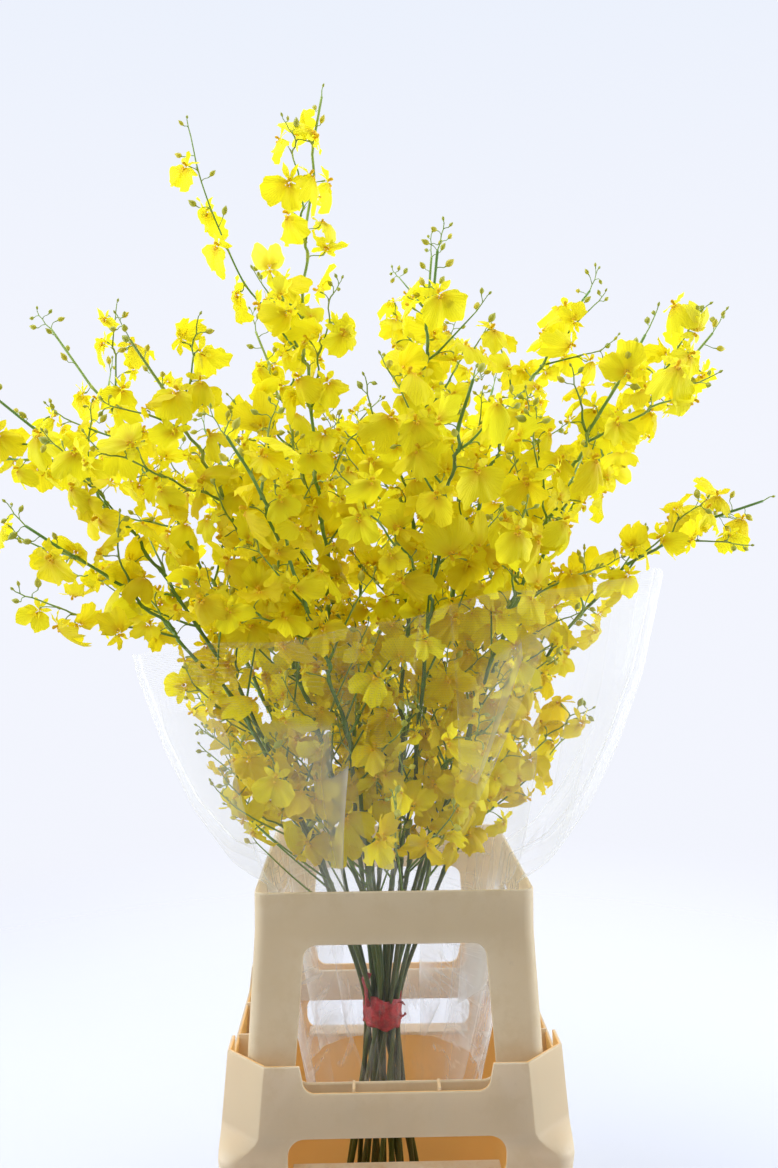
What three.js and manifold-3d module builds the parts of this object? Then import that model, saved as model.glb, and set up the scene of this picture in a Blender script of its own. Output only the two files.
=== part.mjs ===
// A bunch of yellow oncidium sprays, tied with red tape and wrapped in a clear film sleeve, standing
// in a square flower bucket with a tapered collar. Millimetres, +Z up. The origin is the middle of
// the bucket's underside, and the front of the bucket faces -Y.
import * as THREE from 'three';
import { mergeVertices } from 'three/addons/utils/BufferGeometryUtils.js';
import Module from 'manifold-3d';

const wasm = await Module();
wasm.setup();

// ---------------------------------------------------------------- driving dimensions, millimetres
const BUCKET = {
  height: 260, // top of the neck
  wall: 3,
  baseHalf: 112, // half widths of the square outline, from the underside up
  shoulderHalf: 130,
  shoulderZ: 193,
  neckHalf: 129.5,
  neckZ: 210, // here the full square has turned into the chamfered neck
  rimHalf: 125.5,
  baseCorner: 20,
  shoulderCorner: 14,
  chamfer: 30,
  ledgeZ: [203, 211.7], // corner ledges that carry the collar
  ledgeReach: 148, // the ledges' inner edge, measured out along the diagonal
  dip: { topHalf: 73, bottomHalf: 68, z: 241, corner: 9 },
  window: { half: 78.5, z: [179, 210], corner: 12 },
};
const COLLAR = {
  z: [212, 379],
  wall: 3,
  bottomHalf: 112.5,
  bendZ: 349, // above this the walls stand straight
  rimHalf: 104.5,
  corner: 9,
  window: { topHalf: 68, bottomHalf: 74, z: [241, 340], corner: 10 },
};
const SLEEVE = {
  film: 0.8,
  sides: 18,
  // height, half width across X, half depth across Y, squareness of the outline
  rings: [
    [196, 72, 70, 2.6],
    [378, 100, 100, 6],
    [394, 132, 114, 3.4],
    [428, 161, 129, 2.6],
    [478, 186, 146, 2.3],
    [535, 207, 158, 2.2],
    [640, 230, 168, 2.2],
  ],
  topZ: 584, // the top edge leans: low at the left, high at the right
  topLean: 0.14, // rise of the top edge for each millimetre along X
};
const TIE = { z: [237, 261], straight: 2, gap: 0.5, tape: 1.1, sides: 14 };
const BUNCH = {
  offset: -8, // the tie sits a little left of the bucket's middle
  floorZ: 3.3, // the cut ends stand on the bucket's floor
  footRadius: 3.1,
  tieRadius: 2.4,
  topRadius: 1.1,
  ringRadii: [0, 6.1, 12.1], // the stems are packed in rings where they are tied
  ringCounts: [1, 6, 11],
  twist: 0.0165, // straight stems cross the tie at this slant for each millimetre off its axis
  leanIn: 0.42, // how straight on a stem leaves the tie
  room: 0.4, // kept free round each stem
  sides: 4,
  steps: 7, // from the tie to a tip
  handle: 0.34, // how far a stem keeps its first and last direction, against its length
};
const BRANCH = {
  firstZ: 405, // no side branch below this height
  firstSpread: 60, // the lowest branch grows up to this much higher
  bareTip: 70, // no side branch this near the stem's tip
  lowestZ: 396, // and no bloom reaches below this one
  spacing: [88, 60], // along the main stem, from its lowest branch to its tip
  length: [158, 60],
  radius: [1.3, 0.9],
  rootShare: 0.75, // its sunk root against its thickness
  spread: 0.9, // sideways share of a branch's first direction
  reach: [0.75, 1.15], // its real length against the mean one
  shorter: 0.6, // and against that where there is little room
  wander: 0.9, // how far it may turn round the stem from its place opposite the last one
  nextTurn: 0.45, // and how much further for each direction tried
  lift: [-0.1, 0.4], // how much its tip turns upward
  steps: [0, 0.52, 1], // where its points lie on its curve
  room: 0.6, // a branch starts only where this much more is free round it
  sides: 3,
};
const BLOOM = {
  first: 22, // from a branch's root to its first flower
  spacing: 32, // along a branch
  topReach: 165, // the main stem itself flowers over this length below its tip
  bareTip: 34, // but not here, where it has buds
  leastTurn: 0.5, // a flower faces away from its branch at least this much
  stalk: [11, 16],
  longerStalk: 2, // and this much more at some of the directions tried
  stalkRadius: 0.75,
  footShare: 0.2, // a stalk's foot against its width behind the flower
  size: [0.94, 1.14],
  wander: 0.7, // how far it may turn round its branch from its place opposite the last one
  nextTurn: 0.5, // and how much further for each direction tried
  forward: [0.1, 0.7], // how much its stalk leans toward the branch's tip
  outward: 0.55, // how much it turns to face out of the bunch
  tilt: 0.6, // how far it may face aside from there
  lean: 0.7, // how far its lip may swing aside from straight down or up
  hanging: 0.6, // share of the flowers whose lip is lowest
};
const HEART = { middle: 630, half: [165, 115, 190] }; // the inner part of the mass of flowers
const BUD = { radius: 2.3, length: 7.5, waist: 0.45 }; // widest at this share of its length
const CLEAR = 0.9; // kept between what grows in the bunch
const STALK_CLEAR = 1.5; // kept between a flower stalk's middle line and anything else
const FILM_CLEAR = 5; // kept between what grows and the sleeve's film
const TRIES = 14; // directions tried for each branch and flower before it is left out

// The tallest stem forks at this height, and its left arm passes these points.
const FORK = { z: 796, arm: [[-122, 4, 866], [-149, 0, 928], [-163, -4, 982]] };
// One line for each spray: its place in the tie (ring, index), its tip, and the slope of its tip in
// degrees above the horizontal.
const SPRAYS = [
  { ring: 0, index: 0, tip: [-54, 5, 1020], slope: 102, fork: FORK },
  { ring: 1, index: 0, tip: [268, -25, 812], slope: 42 },
  { ring: 1, index: 1, tip: [186, 62, 872], slope: 50 },
  { ring: 1, index: 2, tip: [42, 60, 902], slope: 82 },
  { ring: 1, index: 3, tip: [-118, 74, 838], slope: 62 },
  { ring: 1, index: 4, tip: [-196, -84, 792], slope: 54 },
  { ring: 1, index: 5, tip: [36, -92, 858], slope: 72 },
  { ring: 2, index: 0, tip: [322, 8, 676], slope: 8 },
  { ring: 2, index: 1, tip: [232, 128, 752], slope: 42 },
  { ring: 2, index: 2, tip: [112, 176, 806], slope: 56 },
  { ring: 2, index: 3, tip: [-28, 188, 770], slope: 56 },
  { ring: 2, index: 4, tip: [-178, 158, 762], slope: 48 },
  { ring: 2, index: 5, tip: [-300, 62, 838], slope: 50 },
  { ring: 2, index: 6, tip: [-322, -34, 764], slope: 38 },
  { ring: 2, index: 7, tip: [-272, -96, 652], slope: 26 },
  { ring: 2, index: 8, tip: [-112, -176, 706], slope: 44 },
  { ring: 2, index: 9, tip: [52, -186, 742], slope: 48 },
  { ring: 2, index: 10, tip: [186, -118, 788], slope: 56 },
];

// ---------------------------------------------------------------- materials
function paint(color, roughness, metalness = 0) {
  return new THREE.MeshStandardMaterial({ color, roughness, metalness });
}
const BEIGE = paint(0xd9c8a8, 0.5);
const CREAM = paint(0xdccdb0, 0.5);
const TAPE_RED = paint(0xb3262a, 0.45);
const YELLOW = paint(0xf0d41a, 0.55);
const FILM = new THREE.MeshStandardMaterial({
  color: 0xeef3f6, roughness: 0.15, metalness: 0, transparent: true, opacity: 0.3,
});

// ---------------------------------------------------------------- solids
function toSolid(positions, triangles) {
  return new wasm.Manifold(new wasm.Mesh({
    numProp: 3,
    vertProperties: Float32Array.from(positions),
    triVerts: Uint32Array.from(triangles),
  }));
}

function geometryToSolid(geometry) {
  const bare = geometry.clone();
  bare.deleteAttribute('normal');
  bare.deleteAttribute('uv');
  const merged = mergeVertices(bare, 1e-4);
  return toSolid(merged.getAttribute('position').array, merged.getIndex().array);
}

function toMesh(name, solid, material) {
  const { vertProperties, triVerts } = solid.getMesh();
  const geometry = new THREE.BufferGeometry();
  geometry.setAttribute('position', new THREE.BufferAttribute(vertProperties, 3));
  geometry.setIndex(new THREE.BufferAttribute(triVerts, 1));
  geometry.computeVertexNormals();
  const mesh = new THREE.Mesh(geometry, material);
  mesh.name = name;
  return mesh;
}

// Joins rings of equally many points, from the bottom up, into one closed solid.
function loft(rings) {
  const count = rings[0].length;
  const positions = rings.flat(2);
  const triangles = [];
  for (let ring = 0; ring + 1 < rings.length; ring += 1) {
    for (let i = 0; i < count; i += 1) {
      const a = ring * count + i;
      const b = ring * count + ((i + 1) % count);
      triangles.push(a, b, b + count, a, b + count, a + count);
    }
  }
  const last = (rings.length - 1) * count;
  for (let i = 1; i + 1 < count; i += 1) {
    triangles.push(0, i + 1, i);
    triangles.push(last, last + i, last + i + 1);
  }
  return toSolid(positions, triangles);
}

// A square of this half width at height z, with round corners of three points each.
function roundSquare(half, corner, z) {
  const points = [];
  for (let quarter = 0; quarter < 4; quarter += 1) {
    const middle = (quarter + 0.5) * (Math.PI / 2);
    const cx = Math.sign(Math.cos(middle)) * (half - corner);
    const cy = Math.sign(Math.sin(middle)) * (half - corner);
    for (const turn of [-Math.PI / 4, 0, Math.PI / 4]) {
      points.push([cx + corner * Math.cos(middle + turn), cy + corner * Math.sin(middle + turn), z]);
    }
  }
  return points;
}

// The same square with each corner cut off flat.
function chamferSquare(half, chamfer, z) {
  const points = [];
  for (let quarter = 0; quarter < 4; quarter += 1) {
    const turn = quarter * (Math.PI / 2);
    for (const along of [0, 0.5, 1]) {
      const x = half - chamfer * along;
      const y = half - chamfer * (1 - along);
      points.push([
        x * Math.cos(turn) - y * Math.sin(turn),
        x * Math.sin(turn) + y * Math.cos(turn),
        z,
      ]);
    }
  }
  return points;
}

// A four-sided opening with round corners, cut through both walls that face along Y, and turned a
// quarter for the other two.
function windowCutter({ topHalf, bottomHalf, z, corner }, reach = 200) {
  const [low, high] = z;
  const slant = 0.06 * corner; // how far the leaning side moves over one corner
  const shape = new THREE.Shape();
  shape.moveTo(-bottomHalf + corner, low);
  shape.lineTo(bottomHalf - corner, low);
  shape.quadraticCurveTo(bottomHalf, low, bottomHalf - slant, low + corner);
  shape.lineTo(topHalf + slant, high - corner);
  shape.quadraticCurveTo(topHalf, high, topHalf - corner, high);
  shape.lineTo(-topHalf + corner, high);
  shape.quadraticCurveTo(-topHalf, high, -topHalf - slant, high - corner);
  shape.lineTo(-bottomHalf + slant, low + corner);
  shape.quadraticCurveTo(-bottomHalf, low, -bottomHalf + corner, low);
  const bar = new THREE.ExtrudeGeometry(shape, { depth: 2 * reach, bevelEnabled: false, curveSegments: 2 });
  bar.translate(0, 0, -reach);
  bar.rotateX(Math.PI / 2);
  const alongY = geometryToSolid(bar);
  return alongY.add(geometryToSolid(bar.clone().rotateZ(Math.PI / 2)));
}

// ---------------------------------------------------------------- bucket and collar
function makeBucket() {
  const b = BUCKET;
  const skew = b.wall * (2 - Math.SQRT2); // keeps the chamfer's wall as thick as the sides'
  const outer = loft([
    roundSquare(b.baseHalf, b.baseCorner, 0),
    roundSquare(b.shoulderHalf, b.shoulderCorner, b.shoulderZ),
    chamferSquare(b.neckHalf, b.chamfer, b.neckZ),
    chamferSquare(b.rimHalf, b.chamfer, b.height),
  ]);
  const inner = loft([
    roundSquare(b.baseHalf - b.wall, b.baseCorner - b.wall, b.wall),
    roundSquare(b.shoulderHalf - b.wall, b.shoulderCorner - b.wall, b.shoulderZ - b.wall),
    chamferSquare(b.neckHalf - b.wall, b.chamfer - skew, b.neckZ - b.wall),
    chamferSquare(b.rimHalf - b.wall, b.chamfer - skew, b.height + 1),
  ]);
  const [ledgeLow, ledgeHigh] = b.ledgeZ;
  const fillHalf = b.neckHalf - b.wall / 2;
  const openHalf = b.neckHalf + b.chamfer;
  const openChamfer = 2 * openHalf - Math.SQRT2 * b.ledgeReach;
  const ledges = loft([
    chamferSquare(fillHalf, b.chamfer - skew / 2, ledgeLow),
    chamferSquare(fillHalf, b.chamfer - skew / 2, ledgeHigh),
  ]).subtract(loft([
    chamferSquare(openHalf, openChamfer, ledgeLow - 1),
    chamferSquare(openHalf, openChamfer, ledgeHigh + 1),
  ]));
  const dips = windowCutter({ ...b.dip, z: [b.dip.z, b.height + 20] });
  const windows = windowCutter({
    topHalf: b.window.half, bottomHalf: b.window.half, z: b.window.z, corner: b.window.corner,
  });
  return outer.subtract(inner).add(ledges).subtract(dips).subtract(windows);
}

function makeCollar() {
  const c = COLLAR;
  const [low, high] = c.z;
  const wall = (inset, corner, lift) => loft([
    roundSquare(c.bottomHalf - inset, corner, low - lift),
    roundSquare(c.rimHalf - inset, corner, c.bendZ),
    roundSquare(c.rimHalf - inset, corner, high + lift),
  ]);
  return wall(0, c.corner, 0).subtract(wall(c.wall, c.corner - c.wall, 1)).subtract(windowCutter(c.window));
}

// ---------------------------------------------------------------- film sleeve
// The sleeve's half width, half depth and squareness at height z.
function sleeveAt(z) {
  const rings = SLEEVE.rings;
  let k = 0;
  while (k + 2 < rings.length && z > rings[k + 1][0]) k += 1;
  const [z0, a0, b0, n0] = rings[k];
  const [z1, a1, b1, n1] = rings[k + 1];
  const t = (z - z0) / (z1 - z0);
  return [a0 + (a1 - a0) * t, b0 + (b1 - b0) * t, n0 + (n1 - n0) * t];
}

function sleevePoint(angle, z, inset) {
  const [a, b, n] = sleeveAt(z);
  const c = Math.cos(angle);
  const s = Math.sin(angle);
  return [
    (a - inset) * Math.sign(c) * Math.abs(c) ** (2 / n),
    (b - inset) * Math.sign(s) * Math.abs(s) ** (2 / n),
    z,
  ];
}

function makeSleeve() {
  const heights = SLEEVE.rings.slice(0, -1).map(([z]) => z);
  const skin = (inset, lift) => {
    const ring = (z) => Array.from({ length: SLEEVE.sides }, (_, i) => {
      const angle = ((i + 0.5) / SLEEVE.sides) * 2 * Math.PI;
      return sleevePoint(angle, z, inset);
    });
    const rings = heights.map(ring);
    rings[0] = rings[0].map(([x, y, z]) => [x, y, z - lift]);
    const top = ring(SLEEVE.topZ).map(([x, y]) => [x, y, SLEEVE.topZ + SLEEVE.topLean * x + lift]);
    return loft([...rings, top]);
  };
  return skin(0, 0).subtract(skin(SLEEVE.film, 1));
}

// ---------------------------------------------------------------- tape band
function makeBand() {
  const [low, high] = TIE.z;
  const inside = BUNCH.ringRadii.at(-1) + BUNCH.tieRadius + TIE.gap;
  const drum = (radius, lift) => loft([low - lift, high + lift].map((z) => (
    Array.from({ length: TIE.sides }, (_, i) => {
      const angle = (2 * Math.PI * i) / TIE.sides;
      return [BUNCH.offset + radius * Math.cos(angle), radius * Math.sin(angle), z];
    }))));
  const roundOff = 1 / Math.cos(Math.PI / TIE.sides); // keeps the flat sides clear of the stems
  return drum((inside + TIE.tape) * roundOff, 0).subtract(drum(inside * roundOff, 1));
}

// ---------------------------------------------------------------- seeded draws and small vectors
class Draw {
  constructor(seed) {
    this.state = (seed * 7919 + 104729) % 2147483647;
    this.next();
    this.next();
  }

  next() {
    this.state = (this.state * 16807) % 2147483647;
    return this.state / 2147483647;
  }

  between(low, high) {
    return low + (high - low) * this.next();
  }
}

const add = (a, b, k = 1) => [a[0] + b[0] * k, a[1] + b[1] * k, a[2] + b[2] * k];
const sub = (a, b) => [a[0] - b[0], a[1] - b[1], a[2] - b[2]];
const scale = (a, k) => [a[0] * k, a[1] * k, a[2] * k];
const dot = (a, b) => a[0] * b[0] + a[1] * b[1] + a[2] * b[2];
const cross = (a, b) => [
  a[1] * b[2] - a[2] * b[1],
  a[2] * b[0] - a[0] * b[2],
  a[0] * b[1] - a[1] * b[0],
];
const size = (a) => Math.sqrt(dot(a, a));
const unit = (a) => scale(a, 1 / size(a));
const mix = (a, b, t) => add(scale(a, 1 - t), b, t);
const UP = [0, 0, 1];

// Two directions square to this one and to each other.
function across(direction) {
  const first = unit(cross(Math.abs(direction[2]) < 0.9 ? UP : [1, 0, 0], direction));
  return [first, cross(direction, first)];
}

// ---------------------------------------------------------------- where everything grows
// Every tube is kept as capsules and every bloom as a few balls, so that what grows next can be
// kept clear of what is there.
const capsules = [];
const balls = [];

function segmentsApart(p, q, r, s) {
  const d1 = sub(q, p);
  const d2 = sub(s, r);
  const w = sub(p, r);
  const a = dot(d1, d1);
  const e = dot(d2, d2);
  const f = dot(d2, w);
  const c = dot(d1, w);
  const b = dot(d1, d2);
  const denominator = a * e - b * b;
  let u = denominator > 1e-9 ? Math.min(Math.max((b * f - c * e) / denominator, 0), 1) : 0;
  let v = (b * u + f) / e;
  if (v < 0) {
    v = 0;
    u = Math.min(Math.max(-c / a, 0), 1);
  } else if (v > 1) {
    v = 1;
    u = Math.min(Math.max((b - c) / a, 0), 1);
  }
  return size(sub(add(p, d1, u), add(r, d2, v)));
}

function pointToSegment(point, p, q) {
  const d = sub(q, p);
  const t = Math.min(Math.max(dot(sub(point, p), d) / dot(d, d), 0), 1);
  return size(sub(point, add(p, d, t)));
}

// True where a ball keeps clear of the sleeve's film: inside it, or above its top edge.
function clearOfSleeve([x, y, z], radius) {
  const edge = SLEEVE.topZ + SLEEVE.topLean * x;
  if (z > edge + radius + FILM_CLEAR / 2) return true;
  const [a, b, n] = sleeveAt(Math.min(z, edge));
  const inset = radius + FILM_CLEAR;
  return (Math.abs(x) / (a - inset)) ** n + (Math.abs(y) / (b - inset)) ** n < 1;
}

function tubeIsClear(points, radius, parent) {
  for (let i = 0; i + 1 < points.length; i += 1) {
    const [p, q] = [points[i], points[i + 1]];
    if (!clearOfSleeve(q, radius) || !clearOfSleeve(mix(p, q, 0.5), radius)) return false;
    for (const c of capsules) {
      if (c.id === parent && i === 0) continue;
      if (segmentsApart(p, q, c.p, c.q) < radius + c.radius + CLEAR) return false;
    }
    for (const ball of balls) {
      if (pointToSegment(ball.centre, p, q) < radius + ball.radius + CLEAR) return false;
    }
  }
  return true;
}

function keepTube(points, radius, id) {
  for (let i = 0; i + 1 < points.length; i += 1) {
    capsules.push({ p: points[i], q: points[i + 1], radius, id });
  }
}

// ---------------------------------------------------------------- main stems
// The straight lower part of a stem leans across the tie, so that the bunch widens below it.
function bundlePoint({ ring, index }, z) {
  const tieZ = (TIE.z[0] + TIE.z[1]) / 2;
  const angle = (index / BUNCH.ringCounts[ring]) * 2 * Math.PI;
  const [x, y] = [BUNCH.ringRadii[ring] * Math.cos(angle), BUNCH.ringRadii[ring] * Math.sin(angle)];
  const slant = BUNCH.twist * (z - tieZ);
  return [BUNCH.offset + x - slant * y, y + slant * x, z];
}

function bezier([a, b, c, d], t) {
  const s = 1 - t;
  return add(add(add(scale(a, s * s * s), b, 3 * s * s * t), c, 3 * s * t * t), d, t * t * t);
}

function stemPath(spray) {
  const leave = bundlePoint(spray, TIE.z[1] + TIE.straight);
  const below = bundlePoint(spray, TIE.z[0] - TIE.straight);
  const reach = sub(spray.tip, leave);
  const length = size(reach);
  const outward = unit([reach[0], reach[1], 0]);
  const slope = (spray.slope * Math.PI) / 180;
  const tipAim = add(scale(outward, Math.cos(slope)), UP, Math.sin(slope));
  const start = unit(mix(unit(reach), unit(sub(leave, below)), BUNCH.leanIn));
  const control = [
    leave,
    add(leave, start, BUNCH.handle * length),
    add(spray.tip, tipAim, -BUNCH.handle * length),
    spray.tip,
  ];
  const points = [bundlePoint(spray, BUNCH.floorZ), below];
  for (let i = 0; i <= BUNCH.steps; i += 1) points.push(bezier(control, i / BUNCH.steps));
  return points;
}

function spotOn(points, distance) {
  let left = distance;
  let k = 0;
  while (k + 2 < points.length && left > size(sub(points[k + 1], points[k]))) {
    left -= size(sub(points[k + 1], points[k]));
    k += 1;
  }
  const aim = sub(points[k + 1], points[k]);
  return { place: add(points[k], aim, left / size(aim)), aim: unit(aim) };
}

function lengthOf(points) {
  let total = 0;
  for (let i = 0; i + 1 < points.length; i += 1) total += size(sub(points[i + 1], points[i]));
  return total;
}

// How far along a stem it reaches this height.
function distanceAt(points, z) {
  let total = 0;
  let k = 0;
  while (points[k + 1][2] < z) {
    total += size(sub(points[k + 1], points[k]));
    k += 1;
  }
  const share = (z - points[k][2]) / (points[k + 1][2] - points[k][2]);
  return total + share * size(sub(points[k + 1], points[k]));
}

const stemRadius = (t) => BUNCH.tieRadius + (BUNCH.topRadius - BUNCH.tieRadius) * t;

// ---------------------------------------------------------------- side branches
function growBranches(plant, draw) {
  const { points, id } = plant;
  const total = lengthOf(points);
  const first = distanceAt(points, BRANCH.firstZ + draw.between(0, BRANCH.firstSpread));
  let along = first;
  let side = draw.between(0, 2 * Math.PI);
  while (along < total - BRANCH.bareTip) {
    const t = (along - first) / (total - first);
    const spot = spotOn(points, along);
    const [u, v] = across(spot.aim);
    const length = BRANCH.length[0] + (BRANCH.length[1] - BRANCH.length[0]) * t;
    for (let attempt = 0; attempt < TRIES; attempt += 1) {
      const turn = side + draw.between(-BRANCH.wander, BRANCH.wander) + attempt * BRANCH.nextTurn;
      const reach = length * draw.between(...BRANCH.reach) * (attempt < TRIES / 2 ? 1 : BRANCH.shorter);
      const sideways = add(scale(u, Math.cos(turn)), v, Math.sin(turn));
      const start = unit(add(spot.aim, sideways, BRANCH.spread));
      const end = unit(add(add(start, UP, draw.between(...BRANCH.lift)), sideways, 0.2));
      const knee = add(spot.place, start, reach * 0.5);
      const tip = add(knee, end, reach * 0.5);
      const branch = BRANCH.steps.map((s) => {
        return add(add(scale(spot.place, (1 - s) ** 2), knee, 2 * s * (1 - s)), tip, s * s);
      });
      const budTip = add(branch[2], unit(sub(branch[2], branch[1])), BUD.length);
      if (tubeIsClear([...branch, budTip], BRANCH.radius[0] + BRANCH.room, id)) {
        const branchId = `${id}.${plant.branches.length}`;
        keepTube([...branch, budTip], BRANCH.radius[0], branchId);
        plant.branches.push({ points: branch, id: branchId });
        break;
      }
    }
    side += Math.PI + draw.between(-0.4, 0.4);
    along += BRANCH.spacing[0] + (BRANCH.spacing[1] - BRANCH.spacing[0]) * t;
  }
}

function growFork(plant) {
  const root = spotOn(plant.points, distanceAt(plant.points, plant.fork.z)).place;
  const branch = { points: [root, ...plant.fork.arm], id: `${plant.id}.fork` };
  keepTube(branch.points, BRANCH.radius[0], branch.id);
  plant.branches.push(branch);
}

// ---------------------------------------------------------------- blooms
// Corners of a bloom seen from its front: x to the side, y away from the lip, z forward. The lip's
// two lobes hang below a narrow waist, under a crown of small petals.
const CORNERS = {
  crown: [0, 11.5, 1.8],
  petal: [9.5, 6.5, 0.8],
  waist: [2.4, -1.6, 0],
  shoulder: [16.8, -9, 0.6],
  lobe: [11, -23.5, -2.6],
  side: [15.5, -16, -1], // a deep flower's one corner in place of its shoulder and lobe
  notch: [0, -19.5, -2.4],
  crest: [0, -3.4, 3],
  back: [0, 1.4, -1.6],
};
const BLOOM_MIDDLE = [0, -7, 0];
const BLOOM_SPAN = 21; // radius of a ball that holds the whole bloom
// Smaller balls that cover the bloom: x, y, radius.
const BLOOM_BALLS = [
  [0, -10, 6.5], [11, -9, 6.5], [-11, -9, 6.5], [7.5, -18.5, 6.5], [-7.5, -18.5, 6.5],
  [6.5, 4.5, 4.5], [-6.5, 4.5, 4.5], [0, 8, 4.5],
];

function placeOn(bloom, [x, y, z]) {
  const { centre, right, up, front, grow } = bloom;
  return add(add(add(centre, right, x * grow), up, y * grow), front, z * grow);
}

function bloomIsClear(bloom, parent) {
  const spheres = BLOOM_BALLS.map(([x, y, radius]) => (
    { centre: placeOn(bloom, [x, y, 0]), radius: radius * bloom.grow }));
  const stalkEnd = placeOn(bloom, CORNERS.back);
  const middle = placeOn(bloom, BLOOM_MIDDLE);
  const span = BLOOM_SPAN * bloom.grow;
  if (spheres.some(({ centre, radius }) => !clearOfSleeve(centre, radius) || centre[2] < BRANCH.lowestZ)) {
    return null;
  }
  for (const c of capsules) {
    if (pointToSegment(middle, c.p, c.q) < span + c.radius) {
      for (const s of spheres) {
        if (pointToSegment(s.centre, c.p, c.q) < s.radius + c.radius + CLEAR) return null;
      }
    }
    const stalkGap = segmentsApart(bloom.root, stalkEnd, c.p, c.q) - c.radius;
    if (c.id !== parent && stalkGap < STALK_CLEAR) return null;
  }
  for (const ball of balls) {
    if (size(sub(middle, ball.centre)) < span + ball.radius) {
      for (const s of spheres) {
        if (size(sub(s.centre, ball.centre)) < s.radius + ball.radius + CLEAR / 3) return null;
      }
      if (pointToSegment(ball.centre, bloom.root, stalkEnd) < ball.radius + STALK_CLEAR) return null;
    }
  }
  return spheres;
}

// Deep in the bunch, where other flowers hide this one's crown.
function isDeep([x, y, z]) {
  const { middle, half } = HEART;
  return (x / half[0]) ** 2 + (y / half[1]) ** 2 + ((z - middle) / half[2]) ** 2 < 1;
}

function growBlooms(plant, tube, from, draw) {
  const total = lengthOf(tube.points);
  let along = from;
  let side = draw.between(0, 2 * Math.PI);
  const end = tube === plant ? total - BLOOM.bareTip : total - 3;
  while (along < end) {
    const spot = spotOn(tube.points, along);
    const [u, v] = across(spot.aim);
    for (let attempt = 0; attempt < TRIES; attempt += 1) {
      const turn = side + draw.between(-BLOOM.wander, BLOOM.wander) + attempt * BLOOM.nextTurn;
      const sideways = add(scale(u, Math.cos(turn)), v, Math.sin(turn));
      const aim = unit(add(sideways, spot.aim, draw.between(...BLOOM.forward)));
      const stalk = draw.between(...BLOOM.stalk) + (attempt % 3) * BLOOM.longerStalk;
      const outward = unit([spot.place[0], spot.place[1] * 1.3, 25]);
      const tilt = [0, 0, 0].map(() => draw.between(-BLOOM.tilt, BLOOM.tilt));
      const front = unit(add(add(aim, outward, BLOOM.outward), tilt));
      const hang = draw.next() < BLOOM.hanging ? 1 : -1;
      const lean = [draw.between(-BLOOM.lean, BLOOM.lean), draw.between(-BLOOM.lean, BLOOM.lean), hang];
      const up = unit(add(lean, front, -dot(lean, front)));
      const bloom = {
        root: spot.place,
        centre: add(spot.place, aim, stalk),
        front,
        up,
        right: cross(up, front),
        grow: draw.between(...BLOOM.size),
        deep: isDeep(spot.place),
      };
      const spheres = dot(front, aim) > BLOOM.leastTurn ? bloomIsClear(bloom, tube.id) : null;
      if (spheres) {
        balls.push(...spheres);
        keepTube([bloom.root, placeOn(bloom, CORNERS.back)], BLOOM.stalkRadius, tube.id);
        plant.blooms.push(bloom);
        break;
      }
    }
    side += Math.PI + draw.between(-0.5, 0.5);
    along += BLOOM.spacing * draw.between(0.85, 1.15);
  }
}

// ---------------------------------------------------------------- the whole bunch, then its solids
function growBunch() {
  const plants = SPRAYS.map((spray, i) => ({
    id: `${i}`, points: stemPath(spray), fork: spray.fork, branches: [], blooms: [], draw: new Draw(i + 1),
  }));
  for (const plant of plants) keepTube(plant.points, BUNCH.tieRadius + BUNCH.room, plant.id);
  for (const plant of plants.filter(({ fork }) => fork)) growFork(plant);
  for (const plant of plants) growBranches(plant, plant.draw);
  for (const plant of plants) {
    for (const branch of plant.branches) growBlooms(plant, branch, BLOOM.first, plant.draw);
    growBlooms(plant, plant, lengthOf(plant.points) - BLOOM.topReach, plant.draw);
  }
  return plants;
}

// A tube of flat sides along the points, which runs out into its tip. Its first ring faces along
// the tube, or along foot where that is given.
function tubeSolid(points, radii, sides, tip, foot = null) {
  const rings = [];
  let [u] = across(unit(sub(points[1], points[0])));
  points.forEach((point, k) => {
    const before = points[Math.max(k - 1, 0)];
    const after = points[Math.min(k + 1, points.length - 1)];
    const aim = k === 0 && foot ? foot : unit(sub(after, before));
    u = unit(add(u, aim, -dot(u, aim)));
    const v = cross(aim, u);
    const corner = (i) => add(
      add(point, u, radii[k] * Math.cos((2 * Math.PI * i) / sides)),
      v,
      radii[k] * Math.sin((2 * Math.PI * i) / sides),
    );
    rings.push(Array.from({ length: sides }, (_, i) => corner(i)));
  });
  const positions = [...rings.flat(2), ...tip];
  const triangles = [];
  const last = (rings.length - 1) * sides;
  for (let i = 0; i < sides; i += 1) {
    const next = (i + 1) % sides;
    for (let k = 0; k < last; k += sides) {
      triangles.push(k + i, k + next, k + next + sides, k + i, k + next + sides, k + i + sides);
    }
    triangles.push(last + i, last + next, last + sides);
    if (i > 0 && i + 1 < sides) triangles.push(0, i + 1, i);
  }
  return toSolid(positions, triangles);
}

// A tube that swells into a bud at its end.
function buddedTube(points, radii, sides, foot) {
  const [before, last] = points.slice(-2);
  const end = unit(sub(last, before));
  const middle = add(last, end, BUD.length * BUD.waist);
  return tubeSolid([...points, middle], [...radii, BUD.radius], sides, add(last, end, BUD.length), foot);
}

function stemSolid({ points }) {
  const upper = points.length - 3;
  const radii = points.map((_, k) => (
    k < 2 ? [BUNCH.footRadius, BUNCH.tieRadius][k] : stemRadius((k - 2) / upper)));
  return buddedTube(points, radii, BUNCH.sides, UP);
}

function branchSolid({ points }) {
  const [thick, thin] = BRANCH.radius;
  const radii = points.map((_, k) => thick + (thin - thick) * (k / (points.length - 1)));
  return buddedTube(points, [thick * BRANCH.rootShare, ...radii.slice(1)], BRANCH.sides);
}

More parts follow.
